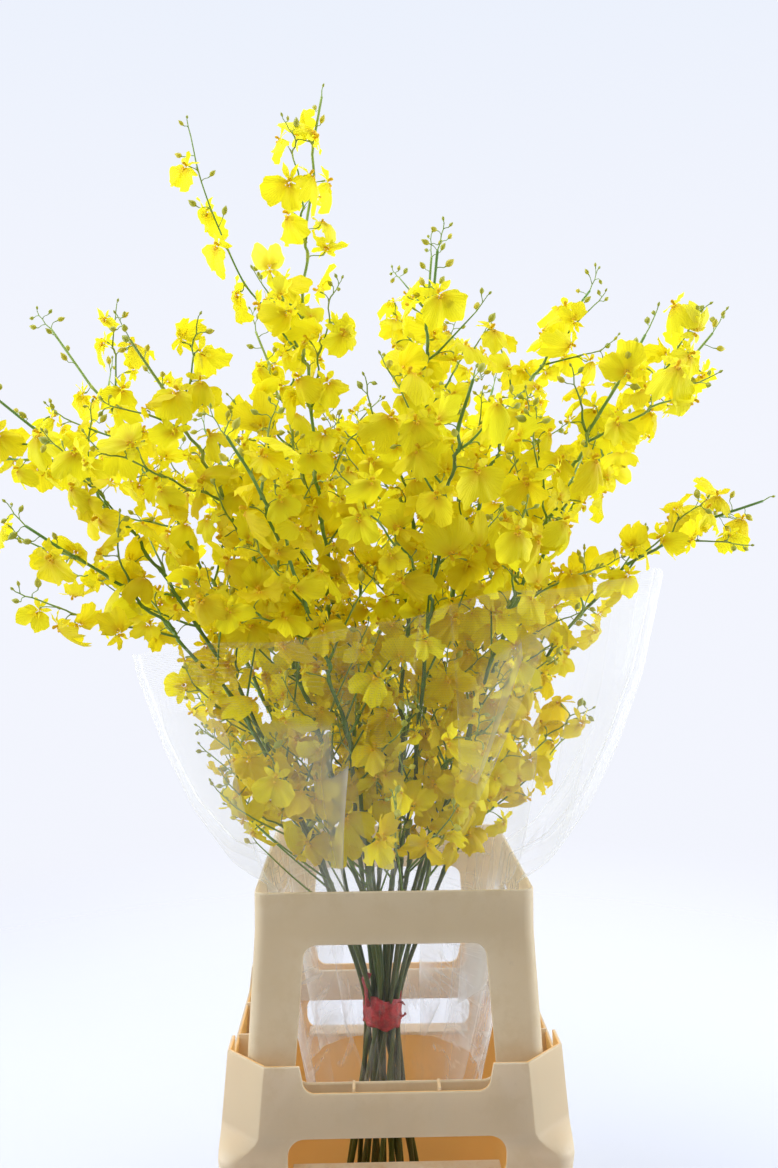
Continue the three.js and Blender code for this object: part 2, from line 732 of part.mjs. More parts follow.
// One open flower with its stalk, whose foot is sunk into the branch. Flowers deep in the bunch
// have only the upright petal of their crown and a plainer lip.
function bloomSolid(bloom) {
  const c = CORNERS;
  const flip = ([x, y, z]) => [-x, y, z];
  const petals = bloom.deep ? [] : [c.petal];
  const half = bloom.deep ? [c.waist, c.side] : [c.waist, c.shoulder, c.lobe];
  const rim = [
    c.crown, ...petals.map(flip), ...half.map(flip), c.notch, ...half.reverse(), ...petals,
  ].map((corner) => placeOn(bloom, corner));
  const waistLeft = 1 + petals.length;
  const notch = waistLeft + half.length;
  const waistRight = notch + half.length;
  const crest = rim.length;
  const back = crest + 1;
  const foot = back + 1;
  const [crestPoint, backPoint] = [placeOn(bloom, c.crest), placeOn(bloom, c.back)];
  const top = [rim[waistRight], rim[waistLeft], backPoint];
  const middle = scale(add(add(top[0], top[1]), top[2]), 1 / 3);
  const feet = top.map((corner) => add(bloom.root, sub(corner, middle), BLOOM.footShare));
  const triangles = [];
  rim.forEach((_, i) => {
    const next = (i + 1) % rim.length;
    triangles.push(crest, i, next);
    const above = i < waistLeft || i >= waistRight;
    if (above) triangles.push(back, next, i);
    else if (i !== notch && next !== notch) triangles.push(notch, next, i);
  });
  triangles.push(notch, waistLeft, waistRight);
  const neck = [waistRight, waistLeft, back];
  for (let i = 0; i < 3; i += 1) {
    const next = (i + 1) % 3;
    triangles.push(neck[i], neck[next], foot + next, neck[i], foot + next, foot + i);
  }
  triangles.push(foot, foot + 1, foot + 2);
  return toSolid([...rim, crestPoint, backPoint, ...feet].flat(), triangles);
}

function spraySolid(plant) {
  const pieces = [...plant.branches.map(branchSolid), ...plant.blooms.map(bloomSolid)];
  return pieces.reduce((whole, piece) => whole.add(piece), stemSolid(plant));
}

const part = new THREE.Group();
part.name = 'oncidium_bunch';
part.add(toMesh('bucket', makeBucket(), BEIGE));
part.add(toMesh('collar', makeCollar(), CREAM));
part.add(toMesh('sleeve', makeSleeve(), FILM));
part.add(toMesh('tape_band', makeBand(), TAPE_RED));
growBunch().forEach((plant, i) => {
  part.add(toMesh(`spray_${String(i + 1).padStart(2, '0')}`, spraySolid(plant), YELLOW));
});
export default part;
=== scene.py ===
# %% [markdown]
# # A bunch of yellow oncidium sprays in a flower bucket
# Eighteen cut sprays are tied with red tape, wrapped in a clear film sleeve and stood in a square
# cream bucket that wears a windowed collar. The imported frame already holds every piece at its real
# size. This lesson dresses it: it grows the same sprays again with finer flowers, fills in the
# small ones, moulds the plastic with soft edges, and crinkles the film.

# %% Load the frame
import math

import bpy
import numpy as np
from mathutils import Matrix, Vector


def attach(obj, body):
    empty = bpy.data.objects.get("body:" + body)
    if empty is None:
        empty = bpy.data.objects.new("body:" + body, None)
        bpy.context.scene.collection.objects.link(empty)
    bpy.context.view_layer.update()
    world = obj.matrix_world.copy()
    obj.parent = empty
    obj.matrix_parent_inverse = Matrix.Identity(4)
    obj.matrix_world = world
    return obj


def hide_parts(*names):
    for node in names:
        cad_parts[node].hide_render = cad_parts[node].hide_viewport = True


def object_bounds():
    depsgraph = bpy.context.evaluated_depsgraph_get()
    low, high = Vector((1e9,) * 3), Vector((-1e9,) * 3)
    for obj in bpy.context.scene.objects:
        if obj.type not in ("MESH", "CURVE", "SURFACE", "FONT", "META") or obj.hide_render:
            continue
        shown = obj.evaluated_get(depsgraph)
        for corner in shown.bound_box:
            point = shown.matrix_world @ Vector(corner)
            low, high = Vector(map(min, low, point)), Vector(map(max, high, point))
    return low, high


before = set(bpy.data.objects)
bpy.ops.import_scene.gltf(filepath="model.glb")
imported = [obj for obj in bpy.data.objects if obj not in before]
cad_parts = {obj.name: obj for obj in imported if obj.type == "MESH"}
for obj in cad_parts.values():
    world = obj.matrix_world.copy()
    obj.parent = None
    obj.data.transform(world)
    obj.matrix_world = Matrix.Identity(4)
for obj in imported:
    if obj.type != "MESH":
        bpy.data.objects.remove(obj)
cad_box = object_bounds()
scene = bpy.context.scene
MM = 0.001  # the growing rule works in millimetres, and Blender in metres
SPRAY_NAMES = sorted(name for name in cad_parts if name.startswith("spray_"))
print(len(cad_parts), "nodes, of which", len(SPRAY_NAMES), "are sprays")

# %% [markdown]
# ## Camera
# The bunch is seen level, from the height of its middle and from less than a metre away, so that
# the collar shows its inside over the rim. A wide lens at that distance gives the strong
# foreshortening between the front and the back flowers.

# %% Camera
EYE = (-0.022, -0.860, 0.607)
LENS = 31.44  # on a sensor of 36 mm along the long side
TURN_RIGHT, ROLL = 1.47, 0.4  # degrees
camera = bpy.data.objects.new("camera", bpy.data.cameras.new("camera"))
camera.data.lens = LENS
camera.data.sensor_width = 36
camera.location = EYE
camera.rotation_mode = "XYZ"
camera.rotation_euler = (math.radians(90), math.radians(ROLL), -math.radians(TURN_RIGHT))
scene.collection.objects.link(camera)
scene.camera = camera
print("camera", EYE, "lens", LENS)

# %% [markdown]
# ## Shader maths as expressions
# Wiring nodes by hand is slow to read. A small class wraps one output, so that `1 - mask * 0.5`
# adds the Math nodes by itself, and one method makes every other kind of node from its settings
# and the values or links of its sockets.


# %% Shader helpers
class Wire:
    """One output of a node. Arithmetic on it adds Math nodes."""

    def __init__(self, paint, socket):
        self.paint = paint
        self.socket = socket

    def math(self, operation, *values):
        return self.paint.node("Math", {"operation": operation}, dict(enumerate(values)))

    def __add__(self, other):
        return self.math("ADD", self, other)

    def __sub__(self, other):
        return self.math("SUBTRACT", self, other)

    def __mul__(self, other):
        return self.math("MULTIPLY", self, other)

    def __rsub__(self, other):
        return self.math("SUBTRACT", other, self)

    __radd__ = __add__
    __rmul__ = __mul__

    def sine(self):
        return self.math("SINE", self)

    def at_most(self, most):
        return self.math("MINIMUM", self, most)

    def between(self, low, high):
        """0 below low, 1 above high, with a smooth step between them."""
        settings = {"interpolation_type": "SMOOTHSTEP"}
        return self.paint.node("MapRange", settings, {0: self, 1: low, 2: high})


class Paint:
    """The node tree of one material."""

    def __init__(self, name, tree=None):
        if tree is None:
            self.material = bpy.data.materials.new(name)
            self.material.use_nodes = True
            tree = self.material.node_tree
        self.tree = tree
        self.tree.nodes.clear()

    def node(self, kind, settings=None, sockets=None, output=0):
        made = self.tree.nodes.new("ShaderNode" + kind)
        for key, value in (settings or {}).items():
            if key == "stops":
                self.set_stops(made.color_ramp, value)
            else:
                setattr(made, key, value)
        for key, value in (sockets or {}).items():
            socket = made.inputs[key]
            if isinstance(value, Wire):
                self.tree.links.new(value.socket, socket)
            elif socket.type == "RGBA":
                socket.default_value = (*value, 1)
            else:
                socket.default_value = value
        return Wire(self, made.outputs[output])

    @staticmethod
    def set_stops(ramp, stops):
        while len(ramp.elements) < len(stops):
            ramp.elements.new(1)
        for element, (place, colour) in zip(ramp.elements, stops):
            element.position = place
            element.color = (*colour, 1)

    def ramp(self, value, *stops):
        return self.node("ValToRGB", {"stops": stops}, {0: value})

    def mix(self, share, first, second):
        return self.node("Mix", {"data_type": "RGBA"}, {0: share, 6: first, 7: second}, output=2)

    def place(self, stretch=(1, 1, 1)):
        """Where a point is on the object, in metres, stretched for a pattern that runs one way."""
        coords = self.node("TexCoord", output="Object")
        return self.node("VectorMath", {"operation": "MULTIPLY"}, {0: coords, 1: stretch})

    def noise(self, scale, detail=2, vector=None, roughness=0.5):
        return self.node("TexNoise", None, {
            "Vector": vector or self.place(), "Scale": scale, "Detail": detail, "Roughness": roughness})

    def carried(self, name):
        """A number that the mesh carries at each point."""
        return self.node("Attribute", {"attribute_name": name}, output="Fac")

    def bump(self, height, distance, strength=1.0):
        return self.node("Bump", None, {"Height": height, "Distance": distance, "Strength": strength})

    def shell(self, colour, roughness, normal, **same_everywhere):
        """The solid part of a surface."""
        sockets = {"Base Color": colour, "Roughness": roughness, "Normal": normal, **same_everywhere}
        return self.node("BsdfPrincipled", None, sockets)

    def lets_through(self, colour, **sockets):
        """The part of a surface that glows with the light behind it."""
        return self.node("BsdfTranslucent", None, {"Color": colour, **sockets})

    def blend(self, share, first, second):
        return self.node("MixShader", None, {0: share, 1: first, 2: second})

    def surface(self, shader):
        self.tree.links.new(shader.socket, self.tree.nodes.new("ShaderNodeOutputMaterial").inputs[0])
        return self.material


print("shader helpers ready")

# %% [markdown]
# ## Studio
# The real bunch stands against a bright white wall that lights it from behind, which is what makes
# the petals glow. A pale world gives the even light and a wide soft panel behind gives the glow.
# One overhead and a weak one in front model the flowers, and two cool ones light the sides. The
# floor is plain and as pale as the wall.

# %% Studio
BRIGHT, DIM = (0.895, 0.915, 0.99), (0.34, 0.35, 0.39)
scene.view_settings.view_transform = "Standard"
world = bpy.data.worlds.new("studio")
world.use_nodes = True
scene.world = world
sky = Paint("studio", world.node_tree)
direction = sky.node("TexCoord", output="Generated")
toward_wall = sky.node("SeparateXYZ", None, {0: direction}, output="Y")
upward = sky.node("SeparateXYZ", None, {0: direction}, output="Z")
wall_light = sky.mix(upward.between(0.1, 0.9), BRIGHT, (0.78, 0.85, 0.97))
glow = sky.mix(toward_wall.between(-0.75, 0.1), DIM, wall_light)
background = sky.node("Background", None, {"Color": glow, "Strength": 1.0})
sky.tree.links.new(background.socket, sky.tree.nodes.new("ShaderNodeOutputWorld").inputs[0])


def panel(name, place, aim, width, depth, power, colour=(1, 1, 1)):
    """A soft rectangular lamp that shines from place towards aim and isn't seen itself."""
    lamp = bpy.data.lights.new(name, "AREA")
    lamp.shape = "RECTANGLE"
    lamp.size, lamp.size_y = width, depth
    lamp.energy = power
    lamp.color = colour
    holder = bpy.data.objects.new(name, lamp)
    holder.location = place
    way = np.array(aim) - np.array(place)
    holder.rotation_euler = (
        math.atan2(math.hypot(way[0], way[1]), -way[2]), 0, math.atan2(way[1], way[0]) - math.pi / 2)
    holder.visible_camera = False
    scene.collection.objects.link(holder)


COOL = (0.84, 0.93, 1.0)
panel("panel_behind", (0.3, 1.9, 1.1), (0, 0, 0.6), 2.4, 1.8, 34)
panel("panel_above", (-0.5, -0.2, 2.3), (0, 0, 0.6), 1.4, 1.2, 28)
panel("panel_front", (-0.9, -1.6, 1.9), (0, 0, 0.6), 0.7, 0.7, 4)
panel("panel_left", (-1.6, -0.05, 0.6), (0, 0, 0.3), 1.4, 1.2, 25, COOL)
panel("panel_right", (1.6, -0.05, 0.6), (0, 0, 0.3), 1.4, 1.2, 31, COOL)

FLOOR_REACH, FLOOR_SIDES = 4.0, 96
FLOOR_FADES = (0.45, 1.7)  # from here to here, in metres, the floor blends into the wall's glow
floor_mesh = bpy.data.meshes.new("floor")
turns = np.arange(FLOOR_SIDES) * 2 * math.pi / FLOOR_SIDES
floor_mesh.from_pydata([(FLOOR_REACH * math.cos(t), FLOOR_REACH * math.sin(t), 0) for t in turns], [],
                       [range(FLOOR_SIDES)])
floor = bpy.data.objects.new("floor", floor_mesh)
scene.collection.objects.link(floor)
floor_paint = Paint("pale_floor")
from_middle = floor_paint.node(
    "VectorMath", {"operation": "LENGTH"}, {0: floor_paint.place()}, output="Value")
floor_tone = floor_paint.ramp(
    floor_paint.noise(0.7), (0.3, (0.46, 0.465, 0.51)), (0.7, (0.485, 0.49, 0.535)))
floor_mesh.materials.append(floor_paint.surface(floor_paint.node("BsdfPrincipled", None, {
    "Base Color": floor_tone, "Roughness": 0.7, "Alpha": 1 - from_middle.between(*FLOOR_FADES)})))

# %% [markdown]
# ## How the bunch grows
# Hundreds of flowers can't be placed by hand, so a rule grows them: stems rise from the bucket's
# floor through the tie and arch outward, side branches leave them, and flowers leave the branches
# wherever there is room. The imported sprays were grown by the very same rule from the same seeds, so
# the same draws in the same order put every fine flower exactly where its plain one is.

# %% Driving sizes of the bunch
TIE_Z, TIE_STRAIGHT = (237, 261), 2
BUNCH = dict(offset=-8, floor=3.3, foot=3.1, tie=2.4, top=1.1, twist=0.0165, lean_in=0.42, room=0.4,
             steps=7, handle=0.34, ring_radii=(0, 6.1, 12.1), ring_counts=(1, 6, 11))
BRANCH = dict(first_z=405, first_spread=60, bare_tip=70, spacing=(88, 60), length=(158, 60),
              radius=1.3, room=0.6, spread=0.9, reach=(0.75, 1.15), shorter=0.6, wander=0.9,
              next_turn=0.45, lift=(-0.1, 0.4), clear=0.9)
BLOOM = dict(first=22, spacing=32, top_reach=165, bare_tip=34, least_turn=0.5, stalk=(11, 16), longer=2,
             size=(0.94, 1.14), wander=0.7, next_turn=0.5, forward=(0.1, 0.7), outward=0.55, tilt=0.6,
             lean=0.7, hanging=0.6, clear=0.9, crowd=1.0, lowest_z=396)
SLEEVE_RINGS = np.array([  # height, half width, half depth, squareness
    (196, 72, 70, 2.6), (378, 100, 100, 6), (394, 132, 114, 3.4), (428, 161, 129, 2.6),
    (478, 186, 146, 2.3), (535, 207, 158, 2.2), (640, 230, 168, 2.2)])
SLEEVE_TOP, SLEEVE_LEAN = 584, 0.14
FILM_CLEAR, STALK_CLEAR, STALK_RADIUS, BUD_LENGTH, TRIES = 5, 1.5, 0.75, 7.5, 14
FORK_Z, FORK_ARM = 796, [(-122, 4, 866), (-149, 0, 928), (-163, -4, 982)]
SPRAYS = [  # place in the tie (ring, index), tip, and slope of the tip in degrees
    (0, 0, (-54, 5, 1020), 102), (1, 0, (268, -25, 812), 42), (1, 1, (186, 62, 872), 50),
    (1, 2, (42, 60, 902), 82), (1, 3, (-118, 74, 838), 62), (1, 4, (-196, -84, 792), 54),
    (1, 5, (36, -92, 858), 72), (2, 0, (322, 8, 676), 8), (2, 1, (232, 128, 752), 42),
    (2, 2, (112, 176, 806), 56), (2, 3, (-28, 188, 770), 56), (2, 4, (-178, 158, 762), 48),
    (2, 5, (-300, 62, 838), 50), (2, 6, (-322, -34, 764), 38), (2, 7, (-272, -96, 652), 26),
    (2, 8, (-112, -176, 706), 44), (2, 9, (52, -186, 742), 48), (2, 10, (186, -118, 788), 56)]
print(len(SPRAYS), "sprays to grow")

# %% Seeded draws and small vector helpers
UP = np.array([0.0, 0.0, 1.0])


class Draw:
    """Park and Miller's generator, which gives the same numbers everywhere."""

    def __init__(self, seed):
        self.state = (seed * 7919 + 104729) % 2147483647
        self.next()
        self.next()

    def next(self):
        self.state = self.state * 16807 % 2147483647
        return self.state / 2147483647

    def between(self, low, high):
        return low + (high - low) * self.next()


def length_of(vector):
    return math.sqrt(vector @ vector)


def unit(vector):
    return vector / length_of(vector)


def across(way):
    """Two directions square to this one and to each other."""
    first = unit(np.cross(UP if abs(way[2]) < 0.9 else (1, 0, 0), way))
    return first, np.cross(way, first)


def cubic(a, b, c, d, t):
    """A point of the Bezier curve from a to d."""
    return a * (1 - t) ** 3 + b * 3 * (1 - t) ** 2 * t + c * 3 * (1 - t) * t * t + d * t ** 3


def steps_of(points):
    """The lengths of the straight pieces between points."""
    return np.linalg.norm(np.diff(points, axis=0), axis=1)


def spot_on(points, distance):
    """The place and the direction at this distance along a line of points."""
    k = 0
    for step in steps_of(points)[:-1]:
        if distance <= step:
            break
        distance -= step
        k += 1
    way = points[k + 1] - points[k]
    length = length_of(way)
    return points[k] + way * (distance / length), way / length


def distance_at(points, z):
    """How far along a stem it reaches this height."""
    k = next(i for i in range(len(points) - 1) if points[i + 1][2] >= z)
    share = (z - points[k][2]) / (points[k + 1][2] - points[k][2])
    steps = steps_of(points)
    return steps[:k].sum() + share * steps[k]


print("draws start with", round(Draw(1).next(), 6))

# %% Keeping everything apart
def sleeve_at(z):
    """The sleeve's half width, half depth and squareness at a height."""
    k = min(max(np.searchsorted(SLEEVE_RINGS[:, 0], z) - 1, 0), len(SLEEVE_RINGS) - 2)
    low, high = SLEEVE_RINGS[k], SLEEVE_RINGS[k + 1]
    return (low + (high - low) * ((z - low[0]) / (high[0] - low[0])))[1:]


def clear_of_sleeve(point, radius):
    edge = SLEEVE_TOP + SLEEVE_LEAN * point[0]
    if point[2] > edge + radius + FILM_CLEAR / 2:
        return True
    wide, deep, square = sleeve_at(min(point[2], edge))
    inset = radius + FILM_CLEAR
    return (abs(point[0]) / (wide - inset)) ** square + (abs(point[1]) / (deep - inset)) ** square < 1


def to_segments(point, ends):
    """Distance from a point to each of many straight pieces."""
    way = ends[:, 1] - ends[:, 0]
    share = ((point - ends[:, 0]) * way).sum(1) / (way * way).sum(1)
    return np.linalg.norm(point - ends[:, 0] - way * np.clip(share, 0, 1)[:, None], axis=1)


def between_segments(p, q, ends):
    """Distance from the straight piece p to q to each of many others."""
    d1, d2 = q - p, ends[:, 1] - ends[:, 0]
    w = p - ends[:, 0]
    a, e = d1 @ d1, (d2 * d2).sum(1)
    f, c, b = (d2 * w).sum(1), w @ d1, d2 @ d1
    below = a * e - b * b
    u = np.where(below > 1e-9, np.clip((b * f - c * e) / np.where(below > 1e-9, below, 1), 0, 1), 0)
    v = (b * u + f) / e
    u = np.where(v < 0, np.clip(-c / a, 0, 1), np.where(v > 1, np.clip((b - c) / a, 0, 1), u))
    v = np.clip(v, 0, 1)
    return np.linalg.norm(w + d1 * u[:, None] - d2 * v[:, None], axis=1)


CROWD_MOST = 40000  # straight pieces or balls that a crowd has room for


class Crowd:
    """Every tube as straight pieces and every flower as balls, so that what grows next keeps clear."""

    def __init__(self):
        self.ends = np.zeros((CROWD_MOST, 2, 3))
        self.thick = np.zeros(CROWD_MOST)
        self.owner = np.zeros(CROWD_MOST, int)
        self.balls = np.zeros((CROWD_MOST, 4))
        self.tubes = self.filled = 0
        self.limits = np.array([[-np.inf] * 3, [np.inf] * 3])

    def holds(self, point, radius):
        """Whether a ball here stays clear of the film and inside the limits."""
        inside = (point - radius > self.limits[0]).all() and (point + radius < self.limits[1]).all()
        return inside and clear_of_sleeve(point, radius)

    def kept(self):
        """What it has kept of tubes: their ends, radii and owners."""
        return self.ends[:self.tubes], self.thick[:self.tubes], self.owner[:self.tubes]

    def keep_tube(self, points, radius, owner):
        for p, q in zip(points, points[1:]):
            self.ends[self.tubes] = p, q
            self.thick[self.tubes] = radius
            self.owner[self.tubes] = owner
            self.tubes += 1

    def keep_balls(self, balls):
        self.balls[self.filled:self.filled + len(balls)] = balls
        self.filled += len(balls)

    def tube_is_clear(self, points, radius, parent, clear):
        ends, thick, owner = self.kept()
        balls = self.balls[:self.filled]
        for i, (p, q) in enumerate(zip(points, points[1:])):
            if not (self.holds(q, radius) and self.holds((p + q) / 2, radius)):
                return False
            others = owner != parent if i == 0 else np.ones(len(owner), bool)
            if (between_segments(p, q, ends[others]) < radius + thick[others] + clear).any():
                return False
            if len(balls) and (between_ball_and(p, q, balls) < radius + clear).any():
                return False
        return True


def between_ball_and(p, q, balls):
    """How far the straight piece p to q stays outside each ball."""
    way = q - p
    share = np.clip((balls[:, :3] - p) @ way / (way @ way), 0, 1)
    return np.linalg.norm(balls[:, :3] - p - way * share[:, None], axis=1) - balls[:, 3]


crowd = Crowd()
print("sleeve half sizes at its top:", sleeve_at(SLEEVE_TOP).round(1))

# %% Main stems and side branches
class Tube:
    """A main stem or a branch: its line of points, and where things grow from it."""

    made = 0

    def __init__(self, points):
        Tube.made += 1
        self.points = np.array(points, float)
        self.owner = Tube.made
        self.nodes = []  # (distance along, direction, kind) of what grows from it
        self.blooms = []
        self.branches = []


def bundle_point(ring, index, z):
    """Where a stem crosses a height in its straight lower part, which leans across the tie."""
    angle = index / BUNCH["ring_counts"][ring] * 2 * math.pi
    x, y = (BUNCH["ring_radii"][ring] * f(angle) for f in (math.cos, math.sin))
    slant = BUNCH["twist"] * (z - sum(TIE_Z) / 2)
    return np.array([BUNCH["offset"] + x - slant * y, y + slant * x, z])


def stem_path(ring, index, tip, slope):
    leave = bundle_point(ring, index, TIE_Z[1] + TIE_STRAIGHT)
    below = bundle_point(ring, index, TIE_Z[0] - TIE_STRAIGHT)
    reach = np.array(tip, float) - leave
    length = length_of(reach)
    outward = unit(reach * (1, 1, 0))
    slope = math.radians(slope)
    start = unit(unit(reach) * (1 - BUNCH["lean_in"]) + unit(leave - below) * BUNCH["lean_in"])
    tip_way = outward * math.cos(slope) + UP * math.sin(slope)
    b = leave + start * BUNCH["handle"] * length
    c = tip - tip_way * BUNCH["handle"] * length
    shares = np.arange(BUNCH["steps"] + 1) / BUNCH["steps"]
    curve = [cubic(leave, b, c, np.array(tip), t) for t in shares]
    return [bundle_point(ring, index, BUNCH["floor"]), below, *curve]


def grow_branches(plant, draw, rule):
    total = steps_of(plant.points).sum()
    first = distance_at(plant.points, rule["first_z"] + draw.between(0, rule["first_spread"]))
    along = first
    side = draw.between(0, 2 * math.pi)
    while along < total - rule["bare_tip"]:
        t = (along - first) / (total - first)
        place, way = spot_on(plant.points, along)
        u, v = across(way)
        length = rule["length"][0] + (rule["length"][1] - rule["length"][0]) * t
        for attempt in range(TRIES):
            turn = side + draw.between(-rule["wander"], rule["wander"]) + attempt * rule["next_turn"]
            reach = length * draw.between(*rule["reach"]) * (1 if attempt < TRIES / 2 else rule["shorter"])
            sideways = u * math.cos(turn) + v * math.sin(turn)
            start = unit(way + sideways * rule["spread"])
            end = unit(start + UP * draw.between(*rule["lift"]) + sideways * 0.2)
            knee = place + start * reach * 0.5
            tip = knee + end * reach * 0.5
            points = [place * (1 - s) ** 2 + knee * 2 * s * (1 - s) + tip * s * s for s in (0, 0.52, 1)]
            bud_tip = points[2] + unit(points[2] - points[1]) * BUD_LENGTH
            whole = [*points, bud_tip]
            if crowd.tube_is_clear(whole, rule["radius"] + rule["room"], plant.owner, rule["clear"]):
                branch = Tube(points)
                crowd.keep_tube(whole, rule["radius"], branch.owner)
                plant.branches.append(branch)
                plant.nodes.append((along, sideways, "branch"))
                break
        side += math.pi + draw.between(-0.4, 0.4)
        along += rule["spacing"][0] + (rule["spacing"][1] - rule["spacing"][0]) * t


print("a spray reaches", round(float(steps_of(np.array(stem_path(*SPRAYS[0]))).sum())), "mm along its stem")

# %% Flowers along a stem
BLOOM_BALLS = np.array([  # x, y, radius, seen from the flower's front
    (0, -10, 6.5), (11, -9, 6.5), (-11, -9, 6.5), (7.5, -18.5, 6.5), (-7.5, -18.5, 6.5),
    (6.5, 4.5, 4.5), (-6.5, 4.5, 4.5), (0, 8, 4.5)])
BLOOM_SPAN, BLOOM_MIDDLE, BLOOM_BACK = 21, (0, -7, 0), (0, 1.4, -1.6)


class Bloom:
    """Where an open flower sits: its stalk's root, its middle, and its own three directions."""

    def __init__(self, root, centre, front, up, grow, along, way):
        self.root, self.centre, self.grow = root, centre, grow
        self.turn = np.array([np.cross(up, front), up, front])  # to its side, away from its lip, forward
        self.along, self.way = along, way

    def place(self, local):
        return self.centre + (np.asarray(local) * self.grow) @ self.turn


def bloom_is_clear(bloom, parent, rule):
    """The balls that cover the flower, or None where it would reach into anything."""
    flat = np.column_stack([BLOOM_BALLS[:, :2], np.zeros(len(BLOOM_BALLS))])
    balls = np.column_stack([bloom.place(flat), BLOOM_BALLS[:, 2] * bloom.grow])
    if (balls[:, 2] < rule["lowest_z"]).any() or not all(crowd.holds(b[:3], b[3]) for b in balls):
        return None
    back, middle, span = bloom.place(BLOOM_BACK), bloom.place(BLOOM_MIDDLE), BLOOM_SPAN * bloom.grow
    ends, thick, owner = crowd.kept()
    near = to_segments(middle, ends) < span + thick
    for ball in balls:
        if (to_segments(ball[:3], ends[near]) < ball[3] + thick[near] + rule["clear"]).any():
            return None
    others = owner != parent
    if (between_segments(bloom.root, back, ends[others]) - thick[others] < STALK_CLEAR).any():
        return None
    placed = crowd.balls[:crowd.filled]
    placed = placed[np.linalg.norm(placed[:, :3] - middle, axis=1) < span + placed[:, 3]]
    if len(placed):
        gaps = np.linalg.norm(placed[:, None, :3] - balls[None, :, :3], axis=2)
        if (gaps < (placed[:, None, 3] + balls[None, :, 3]) * rule["crowd"] + rule["clear"] / 3).any():
            return None
        if (between_ball_and(bloom.root, back, placed) < STALK_CLEAR).any():
            return None
    return balls


def grow_blooms(tube, first, draw, rule, end):
    total = steps_of(tube.points).sum()
    along = first
    side = draw.between(0, 2 * math.pi)
    while along < total - end:
        place, way = spot_on(tube.points, along)
        u, v = across(way)
        for attempt in range(TRIES):
            turn = side + draw.between(-rule["wander"], rule["wander"]) + attempt * rule["next_turn"]
            sideways = u * math.cos(turn) + v * math.sin(turn)
            aim = unit(sideways + way * draw.between(*rule["forward"]))
            stalk = draw.between(*rule["stalk"]) + attempt % 3 * rule["longer"]
            outward = unit(np.array([place[0], place[1] * 1.3, 25]))
            tilt = np.array([draw.between(-rule["tilt"], rule["tilt"]) for _ in range(3)])
            front = unit(aim + outward * rule["outward"] + tilt)
            hang = 1 if draw.next() < rule["hanging"] else -1
            lean = np.array([*(draw.between(-rule["lean"], rule["lean"]) for _ in range(2)), hang])
            up = unit(lean - front * (lean @ front))
            bloom = Bloom(place, place + aim * stalk, front, up, draw.between(*rule["size"]), along, way)
            balls = bloom_is_clear(bloom, tube.owner, rule) if front @ aim > rule["least_turn"] else None
            if balls is not None:
                crowd.keep_balls(balls)
                crowd.keep_tube([bloom.root, bloom.place(BLOOM_BACK)], STALK_RADIUS, tube.owner)
                tube.blooms.append(bloom)
                tube.nodes.append((along, unit(aim - way * (aim @ way)), "bloom"))
                break
        side += math.pi + draw.between(-0.5, 0.5)
        along += rule["spacing"] * draw.between(0.85, 1.15)


print(len(BLOOM_BALLS), "balls stand for each flower")

# %% Grow the eighteen sprays
plants = [Tube(stem_path(*spray)) for spray in SPRAYS]
draws = [Draw(i + 1) for i in range(len(SPRAYS))]
for plant in plants:
    crowd.keep_tube(plant.points, BUNCH["tie"] + BUNCH["room"], plant.owner)
fork_along = distance_at(plants[0].points, FORK_Z)
fork = Tube([spot_on(plants[0].points, fork_along)[0], *FORK_ARM])
crowd.keep_tube(fork.points, BRANCH["radius"], fork.owner)
plants[0].branches.append(fork)
plants[0].nodes.append((fork_along, np.array([-1.0, 0, 0]), "branch"))
for plant, draw in zip(plants, draws):
    grow_branches(plant, draw, BRANCH)
for plant, draw in zip(plants, draws):
    for branch in plant.branches:
        grow_blooms(branch, BLOOM["first"], draw, BLOOM, 3)
    grow_blooms(plant, steps_of(plant.points).sum() - BLOOM["top_reach"], draw, BLOOM, BLOOM["bare_tip"])
tubes = [tube for plant in plants for tube in [plant, *plant.branches]]
print(len(tubes) - len(plants), "branches and", sum(len(tube.blooms) for tube in tubes), "open flowers")

# %% [markdown]
# ## The small growth between the big flowers
# The plain solids hold only the largest flowers and branches, because every fused petal costs
# faces. A real spray carries about twice as many. Here the same rule runs once more with shorter
# branches, smaller flowers and closer company, and it fills the room that is left.

# %% Grow the small branches and flowers
YOUNG_BRANCH = {**BRANCH, "first_z": 352, "spacing": (56, 42), "length": (92, 46), "radius": 0.8,
                "room": 0.1, "bare_tip": 44, "clear": 0.2}
SMALL_BLOOM = {**BLOOM, "first": 9, "spacing": 22, "size": (0.70, 1.02), "stalk": (9, 16), "longer": 3,
               "clear": 0.1, "crowd": 0.64, "outward": 0.12, "tilt": 1.1, "least_turn": 0.2, "lowest_z": 383}
STEM_BLOOM_Z, STEM_BLOOM_SPACING, STEM_BLOOM_BARE = 452, 30, 40  # flowers on the main stems themselves
LOW_BRANCH = {**YOUNG_BRANCH, "first_z": 318, "spacing": (34, 30), "length": (120, 150),
              "radius": 0.7, "spread": 0.8, "reach": (0.7, 1.25), "lift": (0.1, 0.8)}
LOW_BRANCHES_TO = 425  # up to this height the stems carry low branches, which cross above the rim
TALL_BARE = 190  # the tallest spray is still in bud this far down from its tip
SMALL_SEED, LIMIT_ROOM = 101, 2
crowd.limits = np.array(cad_box) / MM + np.array([[-LIMIT_ROOM], [LIMIT_ROOM]])
small_draws = [Draw(SMALL_SEED + i) for i in range(len(SPRAYS))]
for plant, draw in zip(plants, small_draws):
    above = steps_of(plant.points).sum() - distance_at(plant.points, LOW_BRANCHES_TO)
    grow_branches(plant, draw, {**LOW_BRANCH, "bare_tip": above})
for plant, draw in zip(plants, small_draws):
    bare = TALL_BARE if plant is plants[0] else YOUNG_BRANCH["bare_tip"]
    grow_branches(plant, draw, {**YOUNG_BRANCH, "bare_tip": bare})
